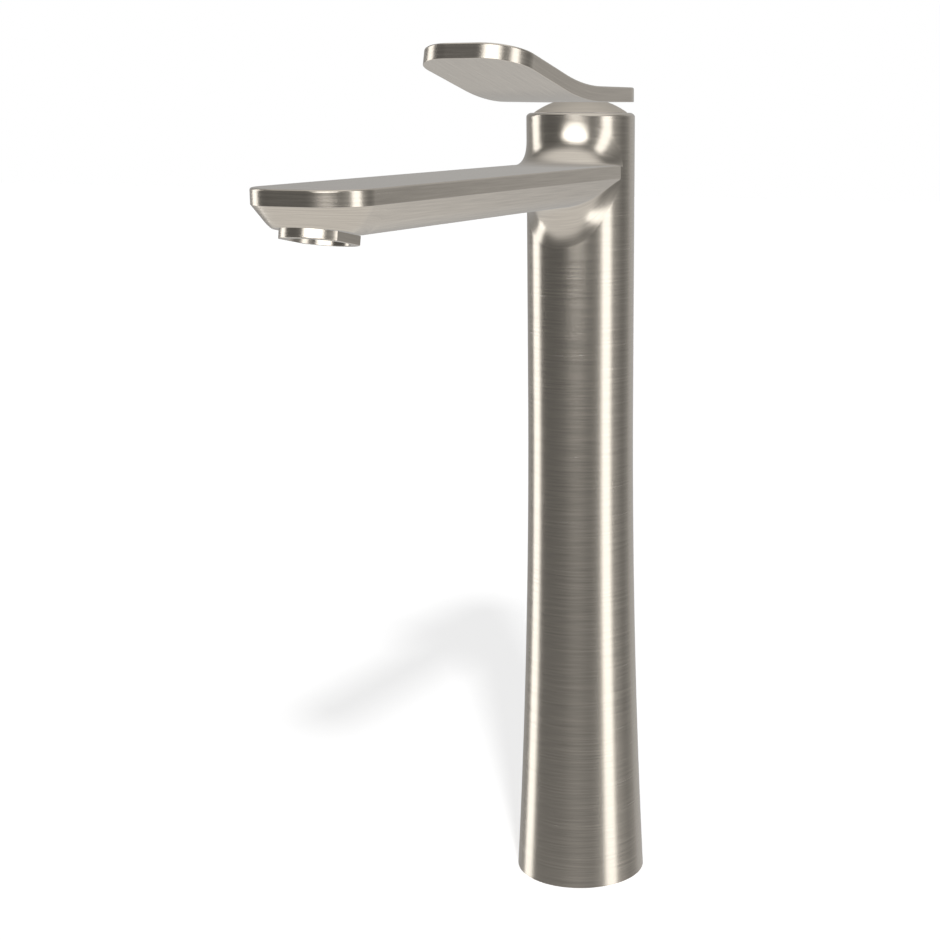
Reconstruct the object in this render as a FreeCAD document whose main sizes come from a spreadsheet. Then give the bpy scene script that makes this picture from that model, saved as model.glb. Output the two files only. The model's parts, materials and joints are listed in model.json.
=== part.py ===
import FreeCAD, Part
import Sketcher
import math
import os

# Deck-mounted single-lever basin faucet. Millimetres, +Z up, the column stands on z = 0,
# the spout reaches towards -Y and the lever lies above it.

# Column
bodyWall = 2.5
footSpread = 5.7
flareHeight = 215
bodyTop = 332
rimChamferWidth = 2.2
rimChamferHeight = 1.4
nutGap = 0.15
topBoreDepth = 16
pocketGap = 0.4
cartridgeDepth = 19
hollowRadius = 16.5

# Spout
spoutStep = 0.75
spoutReach = 213.5
spoutCorner = 15.5
spoutDrop = 20.8
spoutSlope = 0.675
bandDepth = 5.3
bellySideInset = 4.0
bellySideDepth = 5.3
bellyRound = 13.3
bellyLean = 37
edgeRound = 0.8
upperRootRadius = 12
upperRootLean = 9
lowerRootRadius = 14
ductStart = 27
ductToOutlet = 17
ductWall = 2.5
ductSideWall = 3.25
portRadius = 3
portRise = 52
portStart = 4
portLength = 28
portHeight = 12.8

# Outlet
outletInset = 16.5
outletDrop = 19.72
outletTilt = 10.1
aeratorRadius = 12.93
aeratorCollar = 3.1
aeratorFlat = 11
aeratorLip = 2.9
aeratorRecess = 1.8
aeratorPocketRadius = 11.1
aeratorPocketDepth = 9
threadGap = 0.1
washerThickness = 1.1
aeratorBore = 9.4
insertGap = 0.3
meshThickness = 1.2
meshHoleRadius = 0.7

# Lever
leverStep = 0.75
leverReach = 103
leverRear = 17.5
leverCorner = 15.5
leverAbovePivot = 7.3
leverThickness = 5.9
leverFlatEnd = 26
leverSlope = 14.04
leverBend = 144
leverRise = 14.7
domeRadius = 33.5
domeEdgeGap = 0.8
domeSkirt = 1.5
domeTopRadius = 11.2
domeWall = 2.2
domeHollowRadius = 15.8
rearBevelAngle = 20
rearBevelStart = 9.8
bossHalfWidth = 6.5
bossAbovePivot = 4.2
tangHalfWidth = 3.5
tangIntoLever = 3.7
socketGap = 0.1
ribHalfWidth = 4
screwAbovePivot = 5.3
screwRadius = 2
screwLength = 7
screwSocket = 1

# Cartridge and turret
pivotAboveCarrier = 12.95
ballDrop = 12
liftAngle = 18
pinRadius = 1.5
pinHalfLength = 8
pinGap = 0.05
stemRadius = 1.9
ballRadius = 3
ballGap = 0.1
headHalfWidth = 3.9
headGap = 0.2
earRadius = 3
neckRadius = 9.75
neckBelowPivot = 3
turnGap = 0.08
partGap = 0.3
plateThickness = 3.2
roofGap = 0.25
blockHeight = 22
blockGap = 0.1
sealRadius = 0.95
sealGrooveDepth = 1.95
portSpread = 7.5
portForward = 3
chamberGap = 0.6
outletBack = 7
inletRadius = 4.5
inletDepth = 12
passageRadius = 2.5
outletPassage = 10
faceSealThickness = 1
faceSealWidth = 1.4
baseFlange = 4
fixedDiscRadius = 15
discThickness = 4
discSeat = 0.5
discGap = 0.05
movingDiscRadius = 11.9
carrierHalfWidth = 9
carrierHeight = 6.5
carrierGap = 0.15
collarRadius = 5.5
collarHeight = 3.5
housingRadius = 17.5
housingWall = 1.7
housingFlange = 19.3
housingRoof = 2
flangeThickness = 2
nutHeight = 6
nutRadius = 19.85
stopRadius = 13.5
stopHeight = 2.5
swivelAngle = 45
lugHalfWidth = 1.5

# Foot
gasketEdge = 2.2
gasketWidth = 2.5
gasketThickness = 1.5
gasketGap = 0.1
insertRadius = 18
insertThickness = 8
studRadius = 3.4
hosePassage = 5
hoseSpread = 9.5

# Every size above goes into a cell of the sheet under its own name.
sizes = {name: number for name, number in globals().items() if isinstance(number, (int, float))}

os.makedirs("parts", exist_ok=True)
doc = FreeCAD.newDocument("basin_faucet")
sheet = doc.addObject("Spreadsheet::Sheet", "Sizes")
vector = FreeCAD.Vector


class Size:
    # A length or an angle in degrees, with the sheet expression it comes from.
    def __init__(self, number, text):
        self.number = number
        self.text = text

    def __add__(self, other):
        other = asSize(other)
        return Size(self.number + other.number, f"({self.text} + {other.text})")

    def __sub__(self, other):
        other = asSize(other)
        return Size(self.number - other.number, f"({self.text} - {other.text})")

    def __mul__(self, other):
        other = asSize(other)
        return Size(self.number * other.number, f"({self.text} * {other.text})")

    def __truediv__(self, other):
        other = asSize(other)
        return Size(self.number / other.number, f"({self.text} / {other.text})")

    def __neg__(self):
        return Size(-self.number, f"(0 - {self.text})")

    def __radd__(self, other):
        return asSize(other) + self

    def __rsub__(self, other):
        return asSize(other) - self

    def __rmul__(self, other):
        return asSize(other) * self


def asSize(value):
    if isinstance(value, Size):
        return value
    return Size(float(value), f"{float(value):.6f}" if value >= 0 else f"(0 - {-float(value):.6f})")


def sine(angle):
    return Size(math.sin(math.radians(angle.number)), f"sin({angle.text})")


def cosine(angle):
    return Size(math.cos(math.radians(angle.number)), f"cos({angle.text})")


def root(value):
    return Size(math.sqrt(value.number), f"sqrt({value.text})")


for row, (name, number) in enumerate(sizes.items(), 1):
    sheet.set(f"A{row}", name)
    sheet.set(f"B{row}", str(number))
    sheet.setAlias(f"B{row}", name)
    globals()[name] = Size(float(number), f"Sizes.{name}")

# Radii, levels and places that follow from the sizes.
topBore = nutRadius + nutGap
pocketRadius = housingRadius + pocketGap
bodyRadius = topBore + bodyWall
baseRadius = bodyRadius + footSpread
gasketOuter = baseRadius - gasketEdge
gasketInner = gasketOuter - gasketWidth
spoutHalfWidth = bodyRadius - spoutStep
leverHalfWidth = bodyRadius - leverStep
domeEdgeRadius = topBore - domeEdgeGap
boreFloor = bodyTop - topBoreDepth
blockTop = boreFloor - cartridgeDepth
pocketFloor = blockTop - blockHeight
baseTop = blockTop + baseFlange
fixedLow = baseTop + discSeat
fixedTop = fixedLow + discThickness
movingLow = fixedTop + discGap
movingTop = movingLow + discThickness
carrierTop = movingTop + carrierHeight
pivotHeight = carrierTop + pivotAboveCarrier
neckTop = pivotHeight - neckBelowPivot
leverUnderside = pivotHeight + leverAbovePivot
bossFloor = pivotHeight + bossAbovePivot
tangTop = leverUnderside + tangIntoLever
screwHeight = pivotHeight + screwAbovePivot
spoutTop = bodyTop - spoutDrop
outletReach = spoutReach - outletInset
outletHeight = spoutTop - outletDrop
ductEnd = outletReach - ductToOutlet

xAxis = vector(1, 0, 0)
backAxis = vector(-1, 0, 0)


def place(item, base, axis=None, angle=None):
    if axis is not None:
        item.Placement = FreeCAD.Placement(vector(0, 0, 0), FreeCAD.Rotation(axis, 1))
        item.setExpression("Placement.Rotation.Angle", f"{asSize(angle).text} * 1 deg")
    for name, size in zip("xyz", base):
        item.setExpression(f"Placement.Base.{name}", asSize(size).text)


def atOutlet(item, x, y, z):
    y, z = asSize(y), asSize(z)
    along = y * cosine(outletTilt) + z * sine(outletTilt) - outletReach
    up = z * cosine(outletTilt) - y * sine(outletTilt) + outletHeight
    place(item, (x, along, up), backAxis, outletTilt)


def onSpout(item, x, y, z):
    y, z = asSize(y), asSize(z)
    along = y * cosine(spoutSlope) - z * sine(spoutSlope)
    up = y * sine(spoutSlope) + z * cosine(spoutSlope) + spoutTop
    place(item, (x, along, up), xAxis, spoutSlope)


def arcBetween(start, end, radius, turn):
    # turn is +1 where the arc runs anticlockwise from start to end
    chord = end - start
    half = chord.Length / 2
    side = vector(-chord.y, chord.x, 0) * (turn / chord.Length)
    centre = (start + end) * 0.5 + side * math.sqrt(max(radius * radius - half * half, 0))
    first, last = (start, end) if turn > 0 else (end, start)
    begin = math.atan2(first.y - centre.y, first.x - centre.x)
    finish = math.atan2(last.y - centre.y, last.x - centre.x)
    if finish < begin:
        finish += 2 * math.pi
    return Part.ArcOfCircle(Part.Circle(centre, vector(0, 0, 1), radius), begin, finish)


def outline(body, label, role, points, offset=None):
    # points are (x, y), or (x, y, radius, turn) where an arc ends there
    sketch = body.newObject("Sketcher::SketchObject", label)
    plane = [item for item in body.Origin.OriginFeatures if item.Role == role][0]
    sketch.AttachmentSupport = [(plane, "")]
    sketch.MapMode = "FlatFace"
    if offset is not None:
        sketch.setExpression("AttachmentOffset.Base.z", asSize(offset).text)
    spots = [(asSize(point[0]), asSize(point[1])) for point in points]
    ends = []
    for index, point in enumerate(points):
        start = vector(spots[index - 1][0].number, spots[index - 1][1].number, 0)
        end = vector(spots[index][0].number, spots[index][1].number, 0)
        if len(point) == 2:
            sketch.addGeometry(Part.LineSegment(start, end))
            ends.append((1, 2))
        else:
            sketch.addGeometry(arcBetween(start, end, asSize(point[2]).number, point[3]))
            ends.append((1, 2) if point[3] > 0 else (2, 1))
    for index in range(len(points)):
        following = (index + 1) % len(points)
        sketch.addConstraint(
            Sketcher.Constraint("Coincident", index, ends[index][1], following, ends[following][0]))
    for index, (x, y) in enumerate(spots):
        for kind, size, axis in (("DistanceX", x, -2), ("DistanceY", y, -1)):
            if size.text == "0.000000":
                sketch.addConstraint(Sketcher.Constraint("PointOnObject", index, ends[index][1], axis))
            else:
                number = sketch.addConstraint(
                    Sketcher.Constraint(kind, -1, 1, index, ends[index][1], size.number))
                sketch.setExpression(f"Constraints[{number}]", size.text)
    for index, point in enumerate(points):
        if len(point) == 4:
            radius = asSize(point[2])
            number = sketch.addConstraint(Sketcher.Constraint("Radius", index, radius.number))
            sketch.setExpression(f"Constraints[{number}]", radius.text)
    return sketch


def turned(label, points):
    # a body of revolution about Z from (radius, height) points
    body = doc.addObject("PartDesign::Body", label)
    sketch = outline(body, label + "_profile", "XZ_Plane", points)
    solid = body.newObject("PartDesign::Revolution", label + "_turn")
    solid.Profile = sketch
    solid.ReferenceAxis = (sketch, ["V_Axis"])
    solid.Angle = 360
    body.Tip = solid
    return body


def tube(label, inner, outer, low, high):
    return turned(label, [(inner, low), (outer, low), (outer, high), (inner, high)])


def padded(label, role, points, length, offset=None, middle=True):
    body = doc.addObject("PartDesign::Body", label)
    sketch = outline(body, label + "_outline", role, points, offset)
    solid = body.newObject("PartDesign::Pad", label + "_pad")
    solid.Profile = sketch
    if middle:
        solid.Midplane = True
    solid.setExpression("Length", asSize(length).text)
    body.Tip = solid
    return body


def cylinder(label, radius, height, base=(0, 0, 0), axis=None, angle=None):
    item = doc.addObject("Part::Cylinder", label)
    item.setExpression("Radius", asSize(radius).text)
    item.setExpression("Height", asSize(height).text)
    place(item, base, axis, angle)
    return item


def box(label, low, high):
    item = doc.addObject("Part::Box", label)
    for name, start, end in zip(("Length", "Width", "Height"), low, high):
        item.setExpression(name, (asSize(end) - start).text)
    place(item, low)
    return item


def fused(label, items):
    item = doc.addObject("Part::MultiFuse", label)
    item.Shapes = items
    return item


def common(label, items):
    item = doc.addObject("Part::MultiCommon", label)
    item.Shapes = items
    return item


def without(label, base, tools):
    item = doc.addObject("Part::Cut", label)
    item.Base = base
    item.Tool = tools[0] if len(tools) == 1 else fused(label + "_cutters", tools)
    return item


def edgesOf(item, wanted):
    return [f"Edge{index + 1}" for index, edge in enumerate(item.Shape.Edges) if wanted(edge)]


nodes = {}


# Body casting: column, spout with its rim band and belly, and the blends at the root.
flareBend = (flareHeight * flareHeight + (baseRadius - bodyRadius) * (baseRadius - bodyRadius)) / (
    2 * (baseRadius - bodyRadius))
rimBend = (rimChamferWidth * rimChamferWidth + rimChamferHeight * rimChamferHeight) / (2 * rimChamferHeight)
column = turned("column", [
    (0, 0),
    (baseRadius, 0),
    (bodyRadius, flareHeight, flareBend, -1),
    (bodyRadius, bodyTop - rimChamferHeight),
    (bodyRadius - rimChamferWidth, bodyTop, rimBend, 1),
    (0, bodyTop),
])


def tongue(halfWidth, reach, corner):
    return [
        (-halfWidth, 0),
        (-halfWidth, corner - reach),
        (corner - halfWidth, -reach, corner, 1),
        (halfWidth - corner, -reach),
        (halfWidth, corner - reach, corner, 1),
        (halfWidth, 0),
    ]


spout = doc.addObject("PartDesign::Body", "spout")
levels = [(asSize(0), asSize(0)), (bellySideInset, bellySideDepth)]
bellySteps = 6
for step in range(1, bellySteps + 1):
    angle = bellyLean + (90 - bellyLean) * (step / bellySteps)
    inset = bellySideInset + bellyRound * (cosine(bellyLean) - cosine(angle))
    depth = bellySideDepth + bellyRound * (sine(angle) - sine(bellyLean))
    levels.append((inset, depth))
sections = []
for index, (inset, depth) in enumerate(levels):
    points = tongue(spoutHalfWidth - inset, spoutReach - inset, spoutCorner - inset)
    sections.append(outline(spout, f"spout_section_{index}", "XY_Plane", points, -(bandDepth + depth)))
belly = spout.newObject("PartDesign::AdditiveLoft", "belly")
belly.Profile = sections[1]
belly.Sections = sections[2:]
shoulder = spout.newObject("PartDesign::AdditiveLoft", "belly_side")
shoulder.Profile = sections[0]
shoulder.Sections = sections[1:2]
shoulder.Ruled = True
band = spout.newObject("PartDesign::Pad", "rim_band")
band.Profile = sections[0]
band.setExpression("Length", bandDepth.text)
spout.Tip = band
doc.recompute()
spoutRound = spout.newObject("PartDesign::Fillet", "rim_round")
topEdges = edgesOf(band, lambda edge: edge.BoundBox.ZMin > -0.001 and edge.BoundBox.YMin < -1)
spoutRound.Base = (band, topEdges)
spoutRound.setExpression("Radius", edgeRound.text)
spout.Tip = spoutRound
onSpout(spout, 0, 0, 0)
blank = doc.addObject("Part::MultiFuse", "blank")
blank.Shapes = [column, spout]
blank.Refine = True
doc.recompute()


def onColumn(edge):
    spots = edge.discretize(7)
    level = edge.BoundBox.ZMax < spoutTop.number - bandDepth.number
    aside = edge.BoundBox.XMax - edge.BoundBox.XMin > 0.05
    return level and aside and edge.BoundBox.ZMin > flareHeight.number and all(
        abs(math.hypot(spot.x, spot.y) - bodyRadius.number) < 0.001 for spot in spots)


rootBlend = doc.addObject("Part::Fillet", "root_blend")
rootBlend.Base = blank
rootBlend.Edges = [
    (index + 1, lowerRootRadius.number, lowerRootRadius.number)
    for index, edge in enumerate(blank.Shape.Edges) if onColumn(edge)]
rootLevel = spoutTop - (bodyRadius + upperRootRadius) * sine(spoutSlope)
rootRing = turned("upper_root_ring", [
    (bodyRadius - 2, rootLevel - 2),
    (bodyRadius + upperRootRadius, rootLevel - 2),
    (bodyRadius + upperRootRadius, rootLevel),
    (bodyRadius, rootLevel + upperRootRadius, upperRootRadius, -1),
    (bodyRadius - 2, rootLevel + upperRootRadius),
])
rootFoot = spoutHalfWidth - edgeRound
rootHead = rootFoot - upperRootRadius * sine(upperRootLean)
rootWedge = padded("upper_root_wedge", "XZ_Plane", [
    (-rootFoot, rootLevel - 3),
    (rootFoot, rootLevel - 3),
    (rootFoot, rootLevel),
    (rootHead, rootLevel + upperRootRadius),
    (rootHead, rootLevel + upperRootRadius + 2),
    (-rootHead, rootLevel + upperRootRadius + 2),
    (-rootHead, rootLevel + upperRootRadius),
    (-rootFoot, rootLevel),
], (bodyRadius + upperRootRadius) * 2.2)
rootFront = box("upper_root_front", (-bodyRadius, -(bodyRadius + upperRootRadius) * 1.1, rootLevel - 4),
                (bodyRadius, -2, rootLevel + upperRootRadius + 4))
upperRoot = common("upper_root", [rootRing, rootWedge, rootFront])
outer = fused("casting_outside", [rootBlend, upperRoot])

topHole = cylinder("top_bore", topBore, topBoreDepth + 5, (0, 0, boreFloor))
pocket = cylinder("cartridge_pocket", pocketRadius, boreFloor - pocketFloor + 1, (0, 0, pocketFloor))
hollow = cylinder("column_hollow", hollowRadius, pocketFloor + 2, (0, 0, -1))
insertHole = cylinder("insert_counterbore", insertRadius, insertThickness + 1, (0, 0, -1))
gasketGroove = tube("gasket_groove", gasketInner - gasketGap, gasketOuter + gasketGap, -1, gasketThickness)
portLevel = pocketFloor + portHeight
portDrop = portStart * sine(portRise) / cosine(portRise)
port = cylinder("spout_port", portRadius, portLength,
                (0, portStart - pocketRadius, portLevel - portDrop), xAxis, 90 - portRise)
ductTop = -ductWall
duct = padded("spout_duct", "XZ_Plane", [
    (spoutHalfWidth - ductSideWall, ductTop),
    (spoutHalfWidth - ductSideWall, 0.5 - bandDepth),
    (spoutHalfWidth - ductSideWall - 3, -4 - bandDepth),
    (spoutHalfWidth - ductSideWall - 7.5, -7.5 - bandDepth),
    (5, -8.2 - bandDepth),
    (-5, -8.2 - bandDepth),
    (7.5 + ductSideWall - spoutHalfWidth, -7.5 - bandDepth),
    (3 + ductSideWall - spoutHalfWidth, -4 - bandDepth),
    (ductSideWall - spoutHalfWidth, 0.5 - bandDepth),
    (ductSideWall - spoutHalfWidth, ductTop),
], ductEnd - ductStart)
onSpout(duct, 0, -(ductStart + ductEnd) / 2, 0)
overOutlet = doc.addObject("Part::Box", "duct_over_outlet")
overOutlet.setExpression("Length", (aeratorPocketRadius * 2 - 0.4).text)
overOutlet.setExpression("Width", (outletReach + 8 - ductEnd + 2).text)
overOutlet.setExpression("Height", "3.7")
onSpout(overOutlet, 0.2 - aeratorPocketRadius, -(outletReach + 8), ductTop - 3.7)
aeratorPocket = cylinder("aerator_pocket", aeratorPocketRadius, aeratorPocketDepth + 2)
atOutlet(aeratorPocket, 0, 0, aeratorCollar - 2)
tipCut = doc.addObject("Part::Box", "outlet_land")
tipCut.setExpression("Length", (spoutHalfWidth * 3).text)
tipCut.setExpression("Width", (spoutReach - outletReach + 60).text)
tipCut.setExpression("Height", "20")
atOutlet(tipCut, -spoutHalfWidth * 1.5, -(spoutReach - outletReach + 20), aeratorCollar - 20)
nodes["body_casting"] = without("body_casting", outer, [
    topHole, pocket, hollow, insertHole, gasketGroove, port, duct, overOutlet, aeratorPocket, tipCut])

# Foot: gasket and the threaded mounting insert with the hose passages.
nodes["base_gasket"] = tube("base_gasket", gasketInner, gasketOuter, 0, gasketThickness)
insertLow = asSize(0)
insertBlank = cylinder("insert_blank", insertRadius, insertThickness, (0, 0, insertLow))
insertHoles = [cylinder("stud_hole", studRadius, insertThickness + 2, (0, 0, insertLow - 1))]
for side, x in (("hot", -hoseSpread), ("cold", hoseSpread)):
    insertHoles.append(cylinder(f"{side}_hose_passage", hosePassage, insertThickness + 2, (x, 0, insertLow - 1)))
nodes["mounting_insert"] = without("mounting_insert", insertBlank, insertHoles)

# Waterway block with its seals.
blockRadius = pocketRadius - blockGap
grooveFloor = blockRadius - sealGrooveDepth
sealCentre = grooveFloor + sealRadius
lowerSeal = pocketFloor + 3
upperSeal = blockTop - 3
blockBlank = cylinder("block_blank", blockRadius, blockHeight, (0, 0, pocketFloor))
blockCuts = []
for name, level in (("lower", lowerSeal), ("upper", upperSeal)):
    blockCuts.append(tube(f"{name}_groove", grooveFloor, blockRadius + 1,
                          level - sealRadius - 0.1, level + sealRadius + 0.1))
for side, x, portX in (("hot", -hoseSpread, -portSpread), ("cold", hoseSpread, portSpread)):
    blockCuts.append(cylinder(f"{side}_inlet", inletRadius, inletDepth + 1, (x, 0, pocketFloor - 1)))
    blockCuts.append(cylinder(f"{side}_riser", passageRadius, blockHeight - inletDepth + 2,
                              (portX, -portForward, pocketFloor + inletDepth - 1)))
    blockCuts.append(cylinder(f"{side}_seal_seat", passageRadius + faceSealWidth, faceSealThickness + 1,
                              (portX, -portForward, blockTop - faceSealThickness)))
blockCuts.append(cylinder("outlet_drop", passageRadius, blockTop - portLevel + 1, (0, outletBack, portLevel)))
blockCuts.append(cylinder("outlet_seal_seat", passageRadius + faceSealWidth, faceSealThickness + 1,
                          (0, outletBack, blockTop - faceSealThickness)))
blockCuts.append(cylinder("outlet_cross", passageRadius, pocketRadius + outletBack, (0, outletBack, portLevel), xAxis, 90))
nodes["waterway_block"] = without("waterway_block", blockBlank, blockCuts)
rings = []
for name, level in (("lower", lowerSeal), ("upper", upperSeal)):
    ring = doc.addObject("Part::Torus", f"{name}_ring")
    ring.setExpression("Radius1", sealCentre.text)
    ring.setExpression("Radius2", sealRadius.text)
    place(ring, (0, 0, level))
    rings.append(ring)
nodes["waterway_rings"] = doc.addObject("Part::Compound", "waterway_rings")
nodes["waterway_rings"].Links = rings
seals = []
for name, x, y in (("hot", -portSpread, -portForward), ("cold", portSpread, -portForward), ("outlet", 0, outletBack)):
    whole = cylinder(f"{name}_seal_blank", passageRadius + faceSealWidth, faceSealThickness,
                     (x, y, blockTop - faceSealThickness))
    inner = cylinder(f"{name}_seal_hole", passageRadius, faceSealThickness + 2,
                     (x, y, blockTop - faceSealThickness - 1))
    seals.append(without(f"{name}_seal", whole, [inner]))
nodes["cartridge_seals"] = doc.addObject("Part::Compound", "cartridge_seals")
nodes["cartridge_seals"].Links = seals

# Cartridge: base, ceramic discs, carrier, turret, housing, nut and swivel stop.
housingInner = housingRadius - housingWall


def portHoles(label, low, height):
    holes = []
    for name, x, y in (("hot", -portSpread, -portForward), ("cold", portSpread, -portForward), ("outlet", 0, outletBack)):
        holes.append(cylinder(f"{label}_{name}", passageRadius, height, (x, y, low)))
    return holes


baseBlank = turned("base_blank", [
    (0, blockTop),
    (housingRadius, blockTop),
    (housingRadius, baseTop),
    (fixedDiscRadius, baseTop),
    (fixedDiscRadius, fixedLow),
    (0, fixedLow),
])
nodes["cartridge_base"] = without("cartridge_base", baseBlank,
                                  portHoles("base_port", blockTop - 1, baseFlange + 4))
fixedBlank = cylinder("fixed_blank", fixedDiscRadius, discThickness, (0, 0, fixedLow))
nodes["fixed_disc"] = without("fixed_disc", fixedBlank, portHoles("disc_port", fixedLow - 1, discThickness + 2))

armX = ballDrop * sine(liftAngle / 2)
ballLevel = pivotHeight - ballDrop * cosine(liftAngle / 2)
movingBlank = cylinder("moving_blank", movingDiscRadius, discThickness, (0, armX, movingLow))
chamberFront = passageRadius - portForward + chamberGap
mixing = box("mixing_chamber", (-portSpread, chamberFront, movingLow - 1),
             (portSpread, outletBack + passageRadius, movingLow + discThickness / 2))
nodes["moving_disc"] = without("moving_disc", movingBlank, [mixing])
carrierRound = cylinder("carrier_round", movingDiscRadius, carrierHeight, (0, armX, movingTop))
carrierFlats = box("carrier_flats", (-carrierHalfWidth, -movingDiscRadius - 1 + armX, movingTop),
                   (carrierHalfWidth, movingDiscRadius + 1 + armX, carrierTop))
carrierPlate = common("carrier_plate", [carrierRound, carrierFlats])
collar = cylinder("carrier_collar", collarRadius, collarHeight + 1, (0, armX, carrierTop - 1))
carrierOutside = fused("carrier_outside", [carrierPlate, collar])
ballSocket = cylinder("ball_socket", ballRadius + ballGap, collarHeight + 5.5, (0, armX, carrierTop - 4.5))
nodes["disc_carrier"] = without("disc_carrier", carrierOutside, [ballSocket])

turretLow = movingTop + 0.2
plateLow = carrierTop + 0.5
plateTop = plateLow + plateThickness
turretBlank = turned("turret_blank", [
    (0, turretLow),
    (housingInner - partGap, turretLow),
    (housingInner - partGap, plateTop),
    (neckRadius, plateTop),
    (neckRadius, neckTop),
    (0, neckTop),
])
ears = []
slotHalf = headHalfWidth + headGap
for side, low, high in (("left", -pinHalfLength, -slotHalf), ("right", slotHalf, pinHalfLength)):
    ear = cylinder(f"{side}_ear_round", earRadius, high - low, (low, 0, pivotHeight), vector(0, 1, 0), 90)
    ears.append(ear)
    ears.append(box(f"{side}_ear_web", (low, -earRadius, neckTop - 2), (high, earRadius, pivotHeight)))
travel = armX * 2
lug = box("stop_lug", (-lugHalfWidth, neckRadius - 1, neckTop - 3.9), (lugHalfWidth, stopRadius - 1, neckTop - 0.5))
turretOutside = fused("turret_outside", [turretBlank, lug] + ears)
carrierSlot = box("carrier_slot", (-carrierHalfWidth - carrierGap, -movingDiscRadius - armX - 0.6, turretLow - 1),
                  (carrierHalfWidth + carrierGap, movingDiscRadius + armX + 0.6, plateLow))
collarSlot = box("collar_slot", (-collarRadius - 0.2, -collarRadius - armX - 0.6, plateLow - 1),
                 (collarRadius + 0.2, collarRadius + armX + 0.6, plateTop))
stemSlot = box("stem_slot", (-slotHalf, -collarRadius - armX, plateTop - 1),
               (slotHalf, collarRadius + armX, pivotHeight + earRadius + 1))
pinHole = cylinder("pin_hole", pinRadius, pinHalfLength * 2 + 2,
                   (-pinHalfLength - 1, 0, pivotHeight), vector(0, 1, 0), 90)
nodes["turret"] = without("turret", turretOutside, [carrierSlot, collarSlot, stemSlot, pinHole])
nodes["pivot_pin"] = cylinder("pivot_pin", pinRadius, pinHalfLength * 2,
                              (-pinHalfLength, 0, pivotHeight), vector(0, 1, 0), 90)

housingTop = plateTop + roofGap + housingRoof
nodes["cartridge_housing"] = turned("cartridge_housing", [
    (housingInner, baseTop),
    (housingRadius, baseTop),
    (housingRadius, boreFloor),
    (housingFlange, boreFloor),
    (housingFlange, boreFloor + flangeThickness),
    (housingRadius, boreFloor + flangeThickness),
    (housingRadius, housingTop),
    (neckRadius + turnGap, housingTop),
    (neckRadius + turnGap, housingTop - housingRoof),
    (housingInner, housingTop - housingRoof),
])
nutLow = boreFloor + flangeThickness
nodes["cartridge_nut"] = tube("cartridge_nut", housingRadius + partGap, nutRadius, nutLow, nutLow + nutHeight)
stopRing = tube("stop_ring", neckRadius + partGap, stopRadius, housingTop, housingTop + stopHeight)
stopGap = doc.addObject("Part::Cylinder", "stop_gap")
stopGap.setExpression("Radius", (stopRadius + 1).text)
stopGap.setExpression("Height", (stopHeight + 2).text)
stopGap.setExpression("Angle", (swivelAngle * 2 + 19).text)
stopGap.Placement = FreeCAD.Placement(vector(0, 0, 0), FreeCAD.Rotation(vector(0, 0, 1), 35))
stopGap.setExpression("Placement.Rotation.Angle", (80.5 - swivelAngle).text + " * 1 deg")
stopGap.setExpression("Placement.Base.z", (housingTop - 1).text)
nodes["swivel_stop"] = without("swivel_stop", stopRing, [stopGap])

# Lever: plate with a rounded outline, dome below it, stem, pin and set screw.
bendRun = leverBend * sine(leverSlope)
bendRise = leverBend * (1 - cosine(leverSlope))
tipLow = leverUnderside + leverRise
insideBend = leverBend - leverThickness
leverTopFlat = leverUnderside + leverThickness
leverSide = padded("lever_side", "YZ_Plane", [
    (leverRear, leverUnderside),
    (leverRear, leverTopFlat),
    (-leverFlatEnd, leverTopFlat),
    (-leverFlatEnd - insideBend * sine(leverSlope), leverTopFlat + insideBend * (1 - cosine(leverSlope)),
     insideBend, -1),
    (-leverReach + leverThickness * sine(leverSlope), tipLow + leverThickness * cosine(leverSlope)),
    (-leverReach, tipLow),
    (-leverFlatEnd - bendRun, leverUnderside + bendRise),
    (-leverFlatEnd, leverUnderside, leverBend, 1),
], leverHalfWidth * 2)
frontShape = padded("lever_front_shape", "XY_Plane", [
    (-leverHalfWidth, leverReach * 1.5),
    (-leverHalfWidth, leverCorner),
    (leverCorner - leverHalfWidth, 0, leverCorner, 1),
    (leverHalfWidth - leverCorner, 0),
    (leverHalfWidth, leverCorner, leverCorner, 1),
    (leverHalfWidth, leverReach * 1.5),
], leverThickness * 20)
place(frontShape, (0, -leverReach, tipLow), backAxis, leverSlope)
rearShape = padded("lever_rear_shape", "XY_Plane", [
    (leverHalfWidth, -leverReach * 1.5),
    (leverHalfWidth, leverRear - leverCorner),
    (leverHalfWidth - leverCorner, leverRear, leverCorner, 1),
    (leverCorner - leverHalfWidth, leverRear),
    (-leverHalfWidth, leverRear - leverCorner, leverCorner, 1),
    (-leverHalfWidth, -leverReach * 1.5),
], leverThickness * 20)
place(rearShape, (0, 0, leverUnderside))
leverPlate = common("lever_plate", [leverSide, frontShape, rearShape])
bevelRun = leverRear - rearBevelStart + 3
bevel = padded("lever_rear_bevel", "YZ_Plane", [
    (rearBevelStart, leverUnderside),
    (rearBevelStart, leverUnderside - 3),
    (rearBevelStart + bevelRun, leverUnderside - 3),
    (rearBevelStart + bevelRun, leverUnderside + bevelRun * sine(rearBevelAngle) / cosine(rearBevelAngle)),
], leverHalfWidth * 3)
leverCutPlate = without("lever_bevelled_plate", leverPlate, [bevel])
doc.recompute()


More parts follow.
